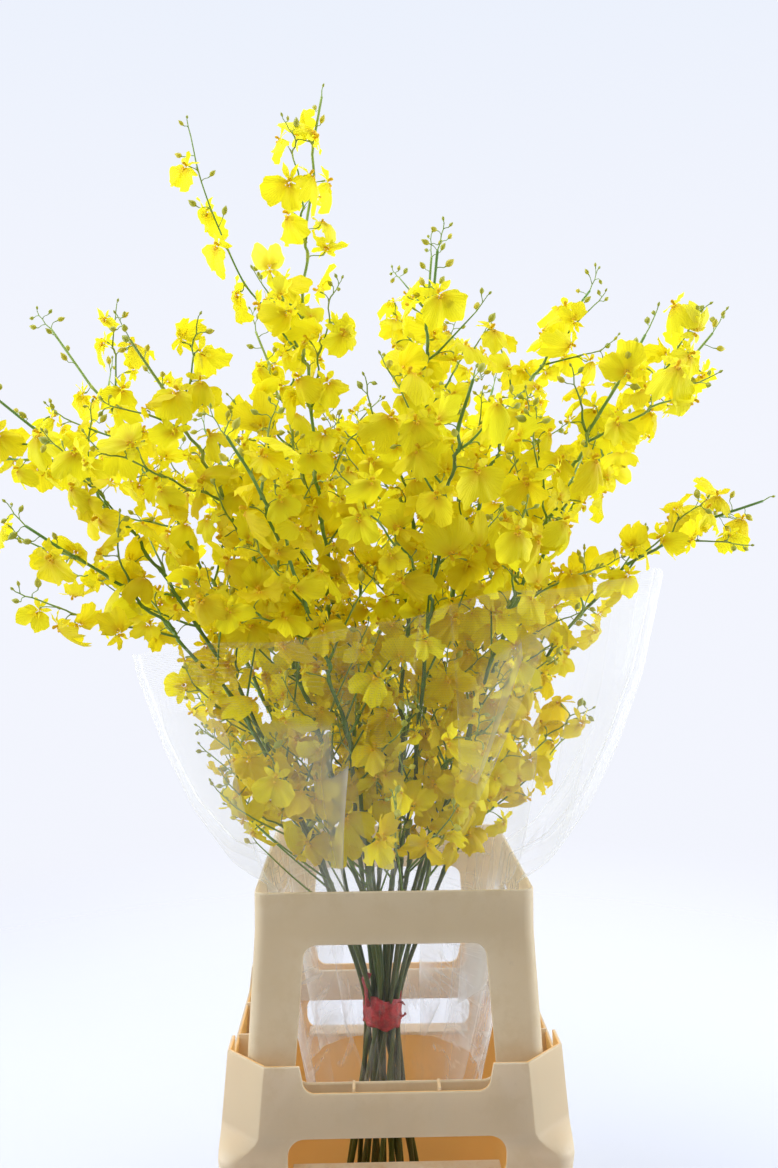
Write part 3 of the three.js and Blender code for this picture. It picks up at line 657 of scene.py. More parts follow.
for plant, draw in zip(plants, small_draws):
    plant.first_small = len(plant.blooms)
    for branch in plant.branches:
        branch.first_small = len(branch.blooms)
        if branch is not fork:
            grow_blooms(branch, SMALL_BLOOM["first"], draw, SMALL_BLOOM, 2)
    bare = TALL_BARE if plant is plants[0] else STEM_BLOOM_BARE
    stem_bloom = {**SMALL_BLOOM, "spacing": STEM_BLOOM_SPACING}
    grow_blooms(plant, distance_at(plant.points, STEM_BLOOM_Z), draw, stem_bloom, bare)
tubes = [tube for plant in plants for tube in [plant, *plant.branches]]
print(len(tubes) - len(plants), "branches and", sum(len(tube.blooms) for tube in tubes), "open flowers")

# %% [markdown]
# ## Mesh helpers
# Every stem, stalk, petal and bud is either a tube or a small grid of points. One class collects
# them with the numbers that their material reads at each point, and turns a whole spray into one
# mesh at the end, which is far quicker than an object for each petal.


# %% Collecting tubes and grids into a mesh
class Pieces:
    """Points in millimetres, faces, and what each point carries, of one object."""

    def __init__(self, *carried):
        self.points, self.faces, self.count = [], [], 0
        self.carried = {name: [] for name in carried}

    def add(self, points, faces, **carried):
        points = np.reshape(points, (-1, 3))
        self.points.append(points)
        self.faces.extend(np.asarray(face) + self.count for face in faces)
        self.count += len(points)
        for name, values in self.carried.items():
            values.append(np.broadcast_to(np.ravel(carried.get(name, 0.0)), len(points)))

    def grid(self, points, closed=False, **carried):
        """Rows of points joined by four-sided faces; closed joins each row's end to its start."""
        rows, columns = points.shape[:2]
        index = np.arange(rows * columns).reshape(rows, columns)
        if closed:
            index = np.column_stack([index, index[:, 0]])
        corners = (index[:-1, :-1], index[:-1, 1:], index[1:, 1:], index[1:, :-1])
        self.add(points, [np.stack([c.ravel() for c in corners], axis=1)], **carried)

    def tube(self, line, radii, sides, tip=None, **carried):
        """A tube along a line, closed at its end by a tip point."""
        line = np.asarray(line, float)
        ways = np.gradient(line, axis=0)
        ways /= np.linalg.norm(ways, axis=1)[:, None]
        u = across(ways[0])[0]
        angles = np.arange(sides) * 2 * math.pi / sides
        rings = []
        for point, way, radius in zip(line, ways, np.broadcast_to(radii, len(line))):
            u = unit(u - way * (u @ way))
            v = np.cross(way, u)
            rings.append(point + radius * (np.outer(np.cos(angles), u) + np.outer(np.sin(angles), v)))
        values = {name: np.repeat(np.broadcast_to(value, len(line)), sides)
                  for name, value in carried.items()}
        self.grid(np.array(rings), closed=True, **values)
        if tip is not None:
            self.close_with(tip, sides, **{name: value[-1] for name, value in values.items()})

    def close_with(self, tip, sides, **carried):
        """Closes the last ring of points with a tip."""
        ring = np.arange(sides) - sides
        self.add([tip], [np.column_stack([ring, np.roll(ring, -1), np.zeros(sides, int)])], **carried)

    def build(self, name, material):
        """One smooth object of all that was collected."""
        points = np.concatenate(self.points) * MM
        mesh = bpy.data.meshes.new(name)
        mesh.vertices.add(len(points))
        mesh.vertices.foreach_set("co", points.ravel())
        sizes = np.concatenate([np.full(len(f), f.shape[1]) for f in self.faces])
        corners = np.concatenate([f.ravel() for f in self.faces])
        mesh.loops.add(len(corners))
        mesh.loops.foreach_set("vertex_index", corners)
        mesh.polygons.add(len(sizes))
        mesh.polygons.foreach_set("loop_start", np.concatenate([[0], np.cumsum(sizes)[:-1]]))
        mesh.polygons.foreach_set("use_smooth", np.ones(len(sizes), bool))
        mesh.update(calc_edges=True)
        for key, values in self.carried.items():
            mesh.attributes.new(key, "FLOAT", "POINT").data.foreach_set("value", np.concatenate(values))
        mesh.materials.append(material)
        made = bpy.data.objects.new(name, mesh)
        scene.collection.objects.link(made)
        return made


def triangles_of(piece):
    return sum(len(face.vertices) - 2 for face in piece.data.polygons)


print("meshes are made in millimetres and scaled by", MM)

# %% [markdown]
# ## Green stems
# A cut spray's stem is dark olive and stout at the foot, fresh green and thin at its tip. It turns
# a little at each joint, where a branch or a flower's stalk leaves it, swells there and wears a
# small papery scale. So the line of each stem gets a kink toward what grows from it, and the
# material reads how fresh each point is.

# %% Stem material
def stem_material():
    paint = Paint("green_stem")
    fresh = paint.carried("fresh")
    grain = paint.noise(900, 3, paint.place((1, 1, 0.08)))
    mottle = paint.noise(60, 3)
    green = paint.ramp(fresh, (0.0, (0.045, 0.058, 0.012)), (0.35, (0.060, 0.115, 0.014)),
                       (0.75, (0.125, 0.270, 0.020)), (1.0, (0.38, 0.46, 0.070)))
    worn = paint.mix(mottle.between(0.52, 0.75) * 0.35, green, (0.12, 0.095, 0.035))
    shade = paint.mix(grain * 0.25, worn, (0.022, 0.036, 0.010))
    fibres = paint.bump(grain, 0.0002, 0.5)
    return paint.surface(paint.shell(shade, 0.38 + mottle * 0.2, fibres, **{"Coat Weight": 0.1}))


STEM_PAINT = stem_material()
print("material", STEM_PAINT.name)

# %% The line of a stem
KINK, STEP, SWELL = 2.2, 9.0, 2.2  # sideways at a joint, between points, half a joint's length
ROUNDINGS = 6  # how often each bend is evened out
BULGE_FALL = 1.6  # how fast the swelling at a joint falls off


def column_interp(at, places, points):
    """Points at these distances along a line whose points lie at these places."""
    return np.column_stack([np.interp(at, places, points[:, k]) for k in range(3)])


def fine_line(tube):
    """The tube's line with rounded bends and kinks at its joints, and each point's distance along."""
    steps = np.concatenate([[0], np.cumsum(steps_of(tube.points))])
    joints = [along + shift for along, _, _ in tube.nodes for shift in (-SWELL, 0, SWELL)]
    at = np.concatenate([np.linspace(0, steps[-1], int(steps[-1] / STEP) + 2), joints])
    at = np.unique(np.clip(at, 0, steps[-1]).round(2))
    line = column_interp(at, steps, tube.points)
    for _ in range(ROUNDINGS):
        line[1:-1] = line[1:-1] / 2 + (line[:-2] + line[2:]) / 4
    kinks = sorted((along, tuple(way * KINK)) for along, way, _ in tube.nodes)
    places = [0, *(along for along, _ in kinks), steps[-1]]
    ways = np.array([(0, 0, 0), *(way for _, way in kinks), (0, 0, 0)], float)
    return at, line + column_interp(at, places, ways)


def joint_bulge(at, tube):
    """1 at each joint of the tube, and 0 away from it."""
    gaps = [np.abs(at - along) for along, _, _ in tube.nodes]
    return np.exp(-(np.min(gaps, axis=0) / SWELL) ** 2 * BULGE_FALL) if gaps else np.zeros(len(at))


print("the fork gets", len(fine_line(fork)[0]), "points")

# %% Stalks and scales
FINE_BRANCH, OVARY = (1.0, 0.55), 0.85  # radii
STEM_SIDES, BRANCH_SIDES, STALK_SIDES = 8, 5, 4
STALK_RADII = np.array([0.62, 0.46, 0.42, 0.43, 0.55, OVARY, OVARY * 0.9])
BRANCH_SCALE, STALK_SCALE = (7.5, 2.2), (3.4, 1.1)  # length and width
JOINT_SWELL, JOINT_PALE = 0.28, 0.18  # how much thicker and fresher a joint is


def curve_between(start, start_way, end, end_way, count):
    """A smooth curve that leaves start and reaches end in these directions."""
    return cubic(start, start + start_way, end - end_way, end, np.linspace(0, 1, count)[:, None])


def add_scale(pieces, root, way, side, length, width):
    """A small papery scale that clasps a joint."""
    across_it = unit(np.cross(way, side))
    rows = []
    for t, wide in ((0, 1), (0.5, 0.8), (1, 0.08)):
        middle = root + way * length * t + side * (1.0 + 0.9 * t)
        half, back = across_it * width * wide, side * 0.5 * wide
        rows.append([middle - half - back, middle, middle + half - back])
    pieces.grid(np.array(rows), fresh=1.0)


def add_stem(pieces, tube, radii, sides, fresh):
    """The tube itself, with a scale at each joint and the stalks of its flowers."""
    at, line = fine_line(tube)
    tube.at, tube.line = at, line
    share = at / at[-1]
    bulge = joint_bulge(at, tube)
    radius = (radii[0] + (radii[1] - radii[0]) * share) * (1 + JOINT_SWELL * bulge)
    if callable(fresh):
        colour = fresh(line)
    else:
        colour = fresh[0] + (fresh[1] - fresh[0]) * share
    end = line[-1] + unit(line[-1] - line[-2]) * radius[-1]
    pieces.tube(line, radius, sides, tip=end, fresh=colour + JOINT_PALE * bulge)
    for along, side, kind in tube.nodes:
        place, way = spot_on(line, along * steps_of(line).sum() / at[-1])
        size = BRANCH_SCALE if kind == "branch" else STALK_SCALE
        add_scale(pieces, place, way, unit(side - way * (side @ way)), *size)
    for bloom in tube.blooms:
        root = column_interp([bloom.along], at, line)[0]
        back, front = bloom.place(BLOOM_BACK), bloom.turn[2]
        reach, aim = length_of(back - root), unit(back - root)
        leave = (aim * 0.7 + bloom.way * 0.45) * reach * 0.45
        stalk = curve_between(root, leave, back, front * reach * 0.42, len(STALK_RADII))
        fresh_part = np.linspace(0.78, 0.95, len(STALK_RADII))
        pieces.tube(stalk, STALK_RADII * bloom.grow ** 0.5, STALK_SIDES, fresh=fresh_part)


print("stalks have", len(STALK_RADII), "rings")

# %% All the green parts
AGE_SEED = 3
STEM_AGES = np.random.RandomState(AGE_SEED).uniform(-0.08, 0.22, len(plants))
STEM_HEIGHTS, STEM_FRESH = (0, 330, 520, 800, 1000), (0.0, 0.12, 0.45, 0.72, 0.8)
BRANCH_FRESH = (0.62, 0.84)


def height_fresh(age):
    """Stems darken towards their foot, some more than others."""
    return lambda line: age + np.interp(line[:, 2], STEM_HEIGHTS, STEM_FRESH)


stems = []
for number, plant in enumerate(plants):
    pieces = Pieces("fresh")
    add_stem(pieces, plant, (BUNCH["tie"], BUNCH["top"]), STEM_SIDES, height_fresh(STEM_AGES[number]))
    for branch in plant.branches:
        add_stem(pieces, branch, FINE_BRANCH, BRANCH_SIDES, BRANCH_FRESH)
    stems.append(pieces)
print(sum(p.count for p in stems), "points on stems, branches and stalks")

# %% [markdown]
# ## Buds
# Each tip ends in unopened buds on curved stalks, smaller and closer towards the end. They are
# pointed eggs with three faint ridges, olive green while young and yellower when nearly open.

# %% Bud material
def bud_material():
    paint = Paint("bud")
    ripe, ridge = paint.carried("ripe"), paint.carried("ridge")
    grain = paint.noise(500, 3)
    colour = paint.ramp(ripe, (0.0, (0.33, 0.42, 0.050)), (0.5, (0.56, 0.55, 0.060)),
                        (1.0, (0.88, 0.72, 0.030)))
    colour = paint.mix(ridge * 0.25, colour, (0.24, 0.27, 0.03))
    colour = paint.mix(grain.between(0.5, 0.8) * 0.3, colour, (0.34, 0.24, 0.04))
    shell = paint.shell(colour, 0.42 + grain * 0.15, paint.bump(grain, 0.0002, 0.6))
    return paint.surface(paint.blend(0.38, shell, paint.lets_through((0.58, 0.54, 0.05))))


BUD_PAINT = bud_material()
print("material", BUD_PAINT.name)

# %% One bud on its stalk
BUD_RINGS = np.array([(0.0, 0.30), (0.14, 0.72), (0.36, 1.0), (0.6, 0.92), (0.82, 0.52)])
BUD_SIDES, BUD_SLIM = 7, 0.31  # corners of a ring, and half the width against the length
BUD_STALK = (0.5, 0.36, 0.34, 0.34, 0.40, 0.55)  # radii


def add_bud(buds, stems_of, root, root_way, place, way, length, ripe):
    """A bud at the end of its hooked stalk."""
    reach = length_of(place - root)
    hook = curve_between(root, root_way * reach * 0.7, place, way * reach * 0.5, len(BUD_STALK))
    stems_of.tube(hook, BUD_STALK, STALK_SIDES, fresh=0.85)
    width = length * BUD_SLIM
    u, v = across(way)
    angles = np.arange(BUD_SIDES) * 2 * math.pi / BUD_SIDES
    ridged = 1 + 0.12 * np.cos(angles * 3)
    outline = np.outer(np.cos(angles) * ridged, u) + np.outer(np.sin(angles) * ridged, v)
    rings = [place + way * length * t + width * share * outline for t, share in BUD_RINGS]
    ridge = np.tile((np.cos(angles * 3) < -0.4).astype(float), len(rings))
    buds.grid(np.array(rings), closed=True, ripe=ripe, ridge=ridge)
    buds.close_with(place + way * length * 1.04, BUD_SIDES, ripe=ripe)


print("a bud has", BUD_SIDES * (2 * len(BUD_RINGS) - 1), "triangles")

# %% Buds at the tips and along bare ends
def grow_tip(buds, pieces, tube, draw, count, stalk, reach, size):
    """Lengthens a stem by a zigzag tip, with a bud on a stalk at each bend, smaller towards the end."""
    line = tube.line
    way = unit(line[-1] - line[-3])
    side = across(way)[0]
    turn = draw.between(0, 2 * math.pi)
    side = unit(side * math.cos(turn) + np.cross(way, side) * math.sin(turn))
    place, points = line[-1], [line[-1]]
    for k in range(count):
        small = 1 - 0.55 * k / count
        hand = (-1) ** k
        start = place
        aside = unit(side * hand + np.cross(way, side) * draw.between(-0.9, 0.9))
        bud_way = unit(aside * 0.8 + way * draw.between(-0.1, 1.0) + UP * draw.between(-0.3, 0.7))
        head = start + unit(aside + way * draw.between(0.0, 0.9)) * stalk * small * draw.between(0.7, 1.4)
        length = size * small * draw.between(0.8, 1.2)
        if crowd.holds(head + bud_way * length, 0) and draw.next() < 0.85:
            add_bud(buds, pieces, start, unit(aside + way * 0.9), head, bud_way, length,
                    draw.between(0.1, 0.9) * small)
        way = unit(way - side * hand * draw.between(0.12, 0.34) + UP * 0.10)
        place = place + way * reach * small / count
        if not crowd.holds(place, 1):
            break
        points.append(place)
    tip_way = unit(way + side * 0.3)
    radii = np.linspace(FINE_BRANCH[1], 0.34, len(points) + 1)
    pieces.tube(np.array([*points, points[-1] + way]), radii, STALK_SIDES, fresh=0.86)
    add_bud(buds, pieces, points[-1], way, points[-1] + tip_way * 2.2, tip_way, size * 0.45, 0.1)


def grow_side_buds(buds, pieces, tube, draw, bare, spacing, size):
    """Single buds on hooked stalks along the bare end of a stem."""
    total = steps_of(tube.line).sum()
    along = total - bare
    side = draw.between(0, 2 * math.pi)
    while along < total - 3:
        place, way = spot_on(tube.line, along)
        u, v = across(way)
        sideways = u * math.cos(side) + v * math.sin(side)
        bud_way = unit(way * draw.between(0.2, 0.9) + sideways * 0.6 + UP * draw.between(-0.4, 0.5))
        head = place + unit(sideways + way * draw.between(0.1, 0.6)) * draw.between(7, 13)
        if crowd.holds(head + bud_way * size, 0):
            length = size * draw.between(0.85, 1.15)
            add_bud(buds, pieces, place, unit(sideways + way * 0.5), head, bud_way, length,
                    draw.between(0.3, 0.95))
        side += math.pi + draw.between(-0.7, 0.7)
        along += spacing * draw.between(0.8, 1.2)


BUD_SEED = 201
FORK_BARE, STEM_BARE = (78, 20), (40, 13)  # where side buds begin below a tip, and how far apart
SIDE_BUD = 7.4  # length
BRANCH_TIP, STEM_TIP = (7.0, 15, 7.4), (8.5, 26, 7.6)  # stalk, reach and bud's length
bud_pieces = []
for number, (plant, pieces) in enumerate(zip(plants, stems)):
    buds = Pieces("ripe", "ridge")
    draw = Draw(BUD_SEED + number)
    for branch in plant.branches:
        if branch is fork:
            grow_side_buds(buds, pieces, branch, draw, *FORK_BARE, SIDE_BUD)
        grow_tip(buds, pieces, branch, draw, 2 + int(draw.next() * 2.4), *BRANCH_TIP)
    grow_side_buds(buds, pieces, plant, draw, *STEM_BARE, SIDE_BUD)
    grow_tip(buds, pieces, plant, draw, 4, *STEM_TIP)
    bud_pieces.append(buds)
print(sum(len(b.faces) for b in bud_pieces) // 2, "buds")

# %% [markdown]
# ## Open flowers
# What makes this orchid is its broad lip: two round ruffled lobes with a notch between them, on a
# narrow neck. Over the neck sits a warty golden-brown callus and the small hooded column, and
# around them five little curled petals. Each is a grid of points bent by a formula, and every
# flower gets its own ruffle, fold and tone, so no two are alike. The tone is also painted darker and
# more golden low in the bunch as painted shade, and paler high up as painted light.

# %% Lip
LIP_ROOT = (0.0, -2.0)
LIP_ANGLES = np.radians((0, 9, 30, 52, 72, 90, 106, 120))  # from straight down
LIP_REACH = np.array((16.4, 18.6, 22.6, 21.4, 18.0, 12.6, 7.2, 3.6))  # from the root to the rim
LIP_RIM = np.array((-2.4, -2.6, -2.6, -1.4, 0.4, 0.6, 0.3, 0.0))  # how far forward the rim stands
LIP_RUFFLES = [  # waves by count and height, and how steeply they grow towards the rim
    (((2, 1.2), (3, 1.3), (5, 1.2)), 2), (((8, 1.3), (12, 1.2)), 2.2), (((15, 1.2), (19, 0.9)), 5)]
LIP_FINE, LIP_PLAIN = (37, 7), (29, 6)  # columns and rows of a large and of a small flower's lip


def waves(chance, angle, *sizes):
    """A sum of sine waves across the lip, each given as its count and its height."""
    return sum(chance.uniform(0.4, 1.3) * high * np.sin(angle * count + chance.uniform(0, 6.3))
               for count, high in sizes)


def lip_grid(chance, columns, rows):
    """The lip's points in the flower's own directions, rim last, and how far out and aside each is."""
    angle = np.linspace(-LIP_ANGLES[-1], LIP_ANGLES[-1], columns)
    aside = np.abs(angle)
    lobes = chance.uniform(-0.14, 0.08, 2)
    uneven = np.where(angle < 0, *lobes) * np.clip(aside * 3, 0, 1)
    notch = chance.uniform(0.02, 0.28) * np.exp(-(angle / 0.12) ** 2)
    ragged = chance.uniform(-0.016, 0.016, columns)
    reach = np.interp(aside, LIP_ANGLES, LIP_REACH) * (1 + uneven) * (1 - notch) * (1 + ragged)
    scallop = waves(chance, angle, (6, 0.7), (11, 0.8), (17, 0.65))
    shares = np.linspace(0.1, 1, rows)[:, None] ** 0.9
    out = reach * shares + scallop * shares ** 5 * np.clip(2.4 - aside, 0, 1)
    fold, bend, curl = chance.uniform(-0.25, 0.95), chance.uniform(-0.3, 0.7), chance.uniform(-2.0, 4.2)
    x = np.sin(angle) * out * (1 - 0.25 * fold ** 2) + LIP_ROOT[0]
    y = LIP_ROOT[1] - np.cos(angle) * out
    z = np.interp(aside, LIP_ANGLES, LIP_RIM) * shares ** 2 + 1.4 * (1 - shares) ** 2
    for ruffle, steepness in LIP_RUFFLES:
        z = z + waves(chance, angle, *ruffle) * shares ** steepness
    z = z - 0.9 * np.exp(-(x / 1.6) ** 2) * np.sin(shares * math.pi * 0.8)
    z = z - np.abs(x) * fold * shares - (LIP_ROOT[1] - y) ** 2 * bend / 22 - curl * shares ** 6
    return np.stack([x, y, z], axis=2), shares * np.ones(columns), aside * np.ones((rows, 1))


print("a lip has", *(((c - 1) * (r - 1) * 2) for c, r in (LIP_FINE, LIP_PLAIN)), "triangles")

# %% Small petals
SMALL_PETALS = [  # turn from straight up, length, width, how far behind the lip it starts
    (0, 12.3, 4.6, -0.6), (56, 12.6, 6.0, -0.3), (-56, 12.6, 6.0, -0.3),
    (138, 10.5, 3.6, -2.2), (-138, 10.5, 3.6, -2.2)]
PETAL_SHAPE = np.array([(0, 0.22), (0.2, 0.60), (0.42, 0.98), (0.64, 1.0), (0.84, 0.70), (1.0, 0.10)])


def petal_grid(turn, length, width, behind, chance):
    """A narrow petal with wavy edges, which twists and curls towards its tip."""
    t, wide = PETAL_SHAPE.T[:, :, None]
    side = np.array([-1, 0, 1])[None, :]
    wave = chance.uniform(0.7, 1.8) * np.sin(t * chance.uniform(7, 12) + chance.uniform(0, 6.3)) * wide
    curl, twist, bow = chance.uniform(-2.5, 6.0), chance.uniform(-1.3, 1.3), chance.uniform(-2.4, 2.4)
    half = side * wide * width / 2
    x = half * np.cos(twist * t) + bow * t ** 2
    y = 0.8 + t * length * (1 - abs(curl) * 0.02)
    z = behind - curl * t ** 2 + np.abs(side) * 0.7 * wide + wave * side * t + half * np.sin(twist * t)
    swing = math.radians(turn + chance.uniform(-10, 10))
    c, s = math.cos(swing), math.sin(swing)
    return np.stack([x * c + y * s, y * c - x * s, z], 2), t


print(len(SMALL_PETALS), "small petals round each lip")

# %% A whole flower
WARTS = [(0, -3.8, 1.0, 1.5), (1.6, -2.4, 0.8, 1.1), (-1.6, -2.4, 0.8, 1.1)]  # x, y, z, radius
HOOD = np.array([(0, 0.4, -0.6), (0, 0.9, 1.6), (0, 1.0, 3.2), (0, 0.4, 4.4)])
HOOD_RADII, HOOD_TIP = np.array([1.3, 1.1, 1.5, 1.1]), np.array([0, -0.1, 4.9])
SHADED_TO_LIT_HEIGHTS = (480, 820)  # painted shade: darker, more golden flowers low down; painted light: paler ones high up


def add_flower(pieces, bloom, chance, large):
    """The petals, lip, callus and column of one open flower."""
    # each flower's own random tone, plus painted shade low in the bunch and painted light high up
    tone = np.interp(bloom.centre[2], SHADED_TO_LIT_HEIGHTS, (0.12, 0.72)) + chance.uniform(-0.25, 0.35)
    tone = np.clip(tone, 0, 1)
    turned = bloom.turn * bloom.grow

    def into(local):
        return bloom.centre + local @ turned

    lip, rim, angle = lip_grid(chance, *(LIP_FINE if large else LIP_PLAIN))
    pieces.grid(into(lip), rim=rim, angle=angle, tone=tone)
    for turn, length, width, behind in SMALL_PETALS:
        grid, t = petal_grid(turn, length, width, behind, chance)
        pieces.grid(into(grid), bar=np.broadcast_to(t, grid.shape[:2]), rim=0.6, angle=0.3, tone=tone)
    for x, y, z, radius in WARTS if large else WARTS[:1]:
        line = into(np.array([(x, y, z - 1.0), (x, y, z + radius * 0.45)]))
        pieces.tube(line, np.array([radius, radius * 0.7]) * bloom.grow, 5,
                    tip=into(np.array([x, y, z + radius * 0.8])), wart=1.0, tone=tone)
    pieces.tube(into(HOOD), HOOD_RADII * bloom.grow, 5, tip=into(HOOD_TIP), wart=0.25, tone=tone)


print(len(WARTS), "warts on a large flower's callus")

# %% Petal material
def petal_material():
    paint = Paint("yellow_petal")
    rim, angle, bar = paint.carried("rim"), paint.carried("angle"), paint.carried("bar")
    wart, tone = paint.carried("wart"), paint.carried("tone")
    cloud = paint.noise(120, 2)
    speck = paint.noise(900, 2)
    # from the darker gold of painted shade low in the bunch to the pale lemon of painted light high up
    yellow = paint.ramp(tone, (0.0, (0.72, 0.53, 0.003)), (0.35, (0.84, 0.71, 0.004)),
                        (0.7, (0.90, 0.82, 0.008)), (0.95, (0.93, 0.88, 0.020)), (1.0, (0.94, 0.90, 0.10)))
    yellow = paint.mix(cloud.between(0.3, 0.8) * 0.35, yellow, (0.96, 0.91, 0.04))
    deep = paint.mix((1 - rim).between(0.40, 0.95) * 0.75, yellow, (0.80, 0.50, 0.003))
    veins = (angle * 58 + cloud * 9).sine().between(0.5, 1.0) * (1 - rim * 0.5)
    veined = paint.mix(veins * 0.20, deep, (0.70, 0.52, 0.008))
    near = (1 - rim).between(0.80, 0.90) * speck.between(0.55, 0.62)
    spotted = paint.mix(near * 0.5, veined, (0.60, 0.27, 0.010))
    middle = bar.between(0.02, 0.1) * (1 - bar).between(0.25, 0.6)
    stripes = (bar * 24 + speck * 5).sine().between(0.2, 0.9) * middle
    barred = paint.mix(stripes * 0.45, spotted, (0.50, 0.30, 0.02))
    warty = paint.mix(speck.between(0.42, 0.60), (0.90, 0.62, 0.012), (0.74, 0.38, 0.012))
    colour = paint.mix(wart, barred, warty)
    grain = paint.bump(veins + speck * 0.4, 0.0006, 0.7)
    body = paint.shell(colour, 0.5 + cloud * 0.15, grain, **{"Specular IOR Level": 0.25})
    golden = paint.lets_through((0.79, 0.57, 0.003), Normal=grain)
    lemon = paint.lets_through((0.93, 0.87, 0.020), Normal=grain)
    # lemon glow for young flowers and, as painted light, high in the bunch; golden glow at the lip's base
    # and, as painted shade, low down
    young = tone.between(-0.25, 0.85) * rim.between(-0.2, 0.75) * (1 - veins * 0.25)
    return paint.surface(paint.blend(0.46 - wart * 0.36, body, paint.blend(young, golden, lemon)))


PETAL_PAINT = petal_material()
print("material", PETAL_PAINT.name)

# %% All the flowers
FLOWER_SEED = 7
flower_pieces = []
for number, plant in enumerate(plants):
    pieces = Pieces("rim", "angle", "bar", "wart", "tone")
    chance = np.random.RandomState(FLOWER_SEED + number)
    for tube in [plant, *plant.branches]:
        for k, bloom in enumerate(tube.blooms):
            add_flower(pieces, bloom, chance, k < tube.first_small)
    flower_pieces.append(pieces)
print(sum(p.count for p in flower_pieces), "points on flowers")

# %% Sprays as finished pieces
total = 0
for name, green, buds, flowers in zip(SPRAY_NAMES, stems, bud_pieces, flower_pieces):
    made = [green.build(name + "_green", STEM_PAINT), buds.build(name + "_buds", BUD_PAINT),
            flowers.build(name + "_flowers", PETAL_PAINT)]
    for piece in made:
        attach(piece, "root")
        total += triangles_of(piece)
    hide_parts(name)
print(total, "triangles on the sprays")

# %% [markdown]
# ## Bucket and collar
# Both are injection moulded in a cream plastic, with walls 3 mm thick, soft edges and rounded
# windows to lift them by. The collar's outline is a square with round corners. The bucket's neck
# turns into a square with its corners cut off flat, which leaves it stiff where it stacks. Each is
# lofted through a few outlines as one closed skin, its windows are cut out, and every sharp edge
# gets the small round that a mould leaves.

# %% Sizes of the moulded plastic
WALL = 3.0
ARC = 9  # points round a corner
# outlines from the foot up: half width, corner, flatness of the corner, height
COLLAR_RINGS = [(112.5, 9, 0, 212), (104.5, 9, 0, 349), (104.5, 9, 0, 379)]
BUCKET_RINGS = [(112, 20, 0, 0), (130, 14, 0, 191), (130, 16, 0.06, 195), (129.8, 22, 0.45, 201),
                (129.6, 28, 0.9, 207), (129.5, 30, 1, 211), (125.5, 30, 1, 260)]
COLLAR_WINDOW = dict(top=68, bottom=74, low=241, high=340, corner=10)
NECK_DIP = dict(top=73, bottom=68, low=241, high=282, corner=9)
NECK_WINDOW = dict(top=78.5, bottom=78.5, low=179, high=210, corner=12)
CUT_SHARE = 0.414  # a flat cut corner shrinks by this share of the wall less than a round one
EDGE_ROUND, SHARP = 1.1, 28  # the round of an edge, and the degrees that make it one
print("collar", COLLAR_RINGS[0][0] * 2, "mm and bucket", BUCKET_RINGS[1][0] * 2, "mm wide")

# %% Lofting a skin through outlines
def square_outline(half, corner, flat, z):
    """A square of this half width with round corners, which flat turns from round into cut off."""
    t = np.linspace(0, math.pi / 2, ARC)
    round_part = half - corner + corner * np.column_stack([np.cos(t), np.sin(t)])
    cut_part = np.linspace((half, half - corner), (half - corner, half), ARC)
    quarter = round_part + (cut_part - round_part) * flat
    points = [quarter]
    for _ in range(3):
        points.append(points[-1] @ np.array([[0, 1], [-1, 0]]))
    return np.column_stack([np.concatenate(points), np.full(4 * ARC, float(z))])


def thinner(ring, lift=0.0):
    """The outline of the inner skin at the same height."""
    half, corner, flat, z = ring
    return half - WALL, corner - WALL * (1 - CUT_SHARE * flat), flat, z + lift


def plain_object(name, points, faces):
    """An object from points in millimetres and lists of corners."""
    mesh = bpy.data.meshes.new(name)
    mesh.from_pydata((np.asarray(points) * MM).tolist(), [], faces)
    mesh.update()
    made = bpy.data.objects.new(name, mesh)
    scene.collection.objects.link(made)
    return made


def lofted(name, outlines, loop=False):
    """A closed skin through outlines; loop joins the last to the first, else both ends get a cap."""
    count = len(outlines[0])
    rows = len(outlines)
    faces = []
    for i in range(rows if loop else rows - 1):
        low, high = i * count, (i + 1) % rows * count
        for k in range(count):
            after = (k + 1) % count
            faces.append((low + k, low + after, high + after, high + k))
    if not loop:
        faces.append(list(range(count))[::-1])
        faces.append([(rows - 1) * count + k for k in range(count)])
    return plain_object(name, np.concatenate(outlines), faces)


print("an outline has", len(square_outline(*COLLAR_RINGS[0])), "points")

# %% Cutting windows and softening edges
CUT_FROM, CUT_TO, WINDOW_ARC = -60, -200, 8  # the cutter's reach, and points round a window's corner


def turned(side):
    """A turn about the upright axis to one of the four sides: 0 front, 1 right, 2 back and 3 left."""
    angle = side * math.pi / 2
    c, s = math.cos(angle), math.sin(angle)
    return np.array([[c, s, 0], [-s, c, 0], [0, 0, 1]])


def window_cutter(top, bottom, low, high, corner, side):
    """A bar with round corners that reaches out through one wall."""
    def turn(x, z, start):
        angles = np.radians(np.linspace(start, start + 90, WINDOW_ARC))
        return np.column_stack([x + corner * np.cos(angles), z + corner * np.sin(angles)])

    shape = np.concatenate([
        turn(top - corner, high - corner, 0), turn(-top + corner, high - corner, 90),
        turn(-bottom + corner, low + corner, 180), turn(bottom - corner, low + corner, 270)])
    ends = [np.column_stack([shape[:, 0], np.full(len(shape), float(y)), shape[:, 1]]) @ turned(side)
            for y in (CUT_FROM, CUT_TO)]
    return lofted("cutter", ends)


def modified(piece, *modifiers):
    """Applies modifiers, each a kind and its settings, so that only the mesh is left."""
    for kind, settings in modifiers:
        modifier = piece.modifiers.new(kind.lower(), kind)
        for key, value in settings.items():
            setattr(modifier, key, value)
    mesh = bpy.data.meshes.new_from_object(piece.evaluated_get(bpy.context.evaluated_depsgraph_get()))
    piece.modifiers.clear()
    piece.data = mesh


def cut_windows(piece, *windows):
    """Cuts each window through all four walls."""
    cutters = [window_cutter(**window, side=side) for window in windows for side in range(4)]
    cut = {"operation": "DIFFERENCE", "solver": "EXACT"}
    modified(piece, *(("BOOLEAN", {**cut, "object": cutter}) for cutter in cutters))
    for cutter in cutters:
        bpy.data.objects.remove(cutter)


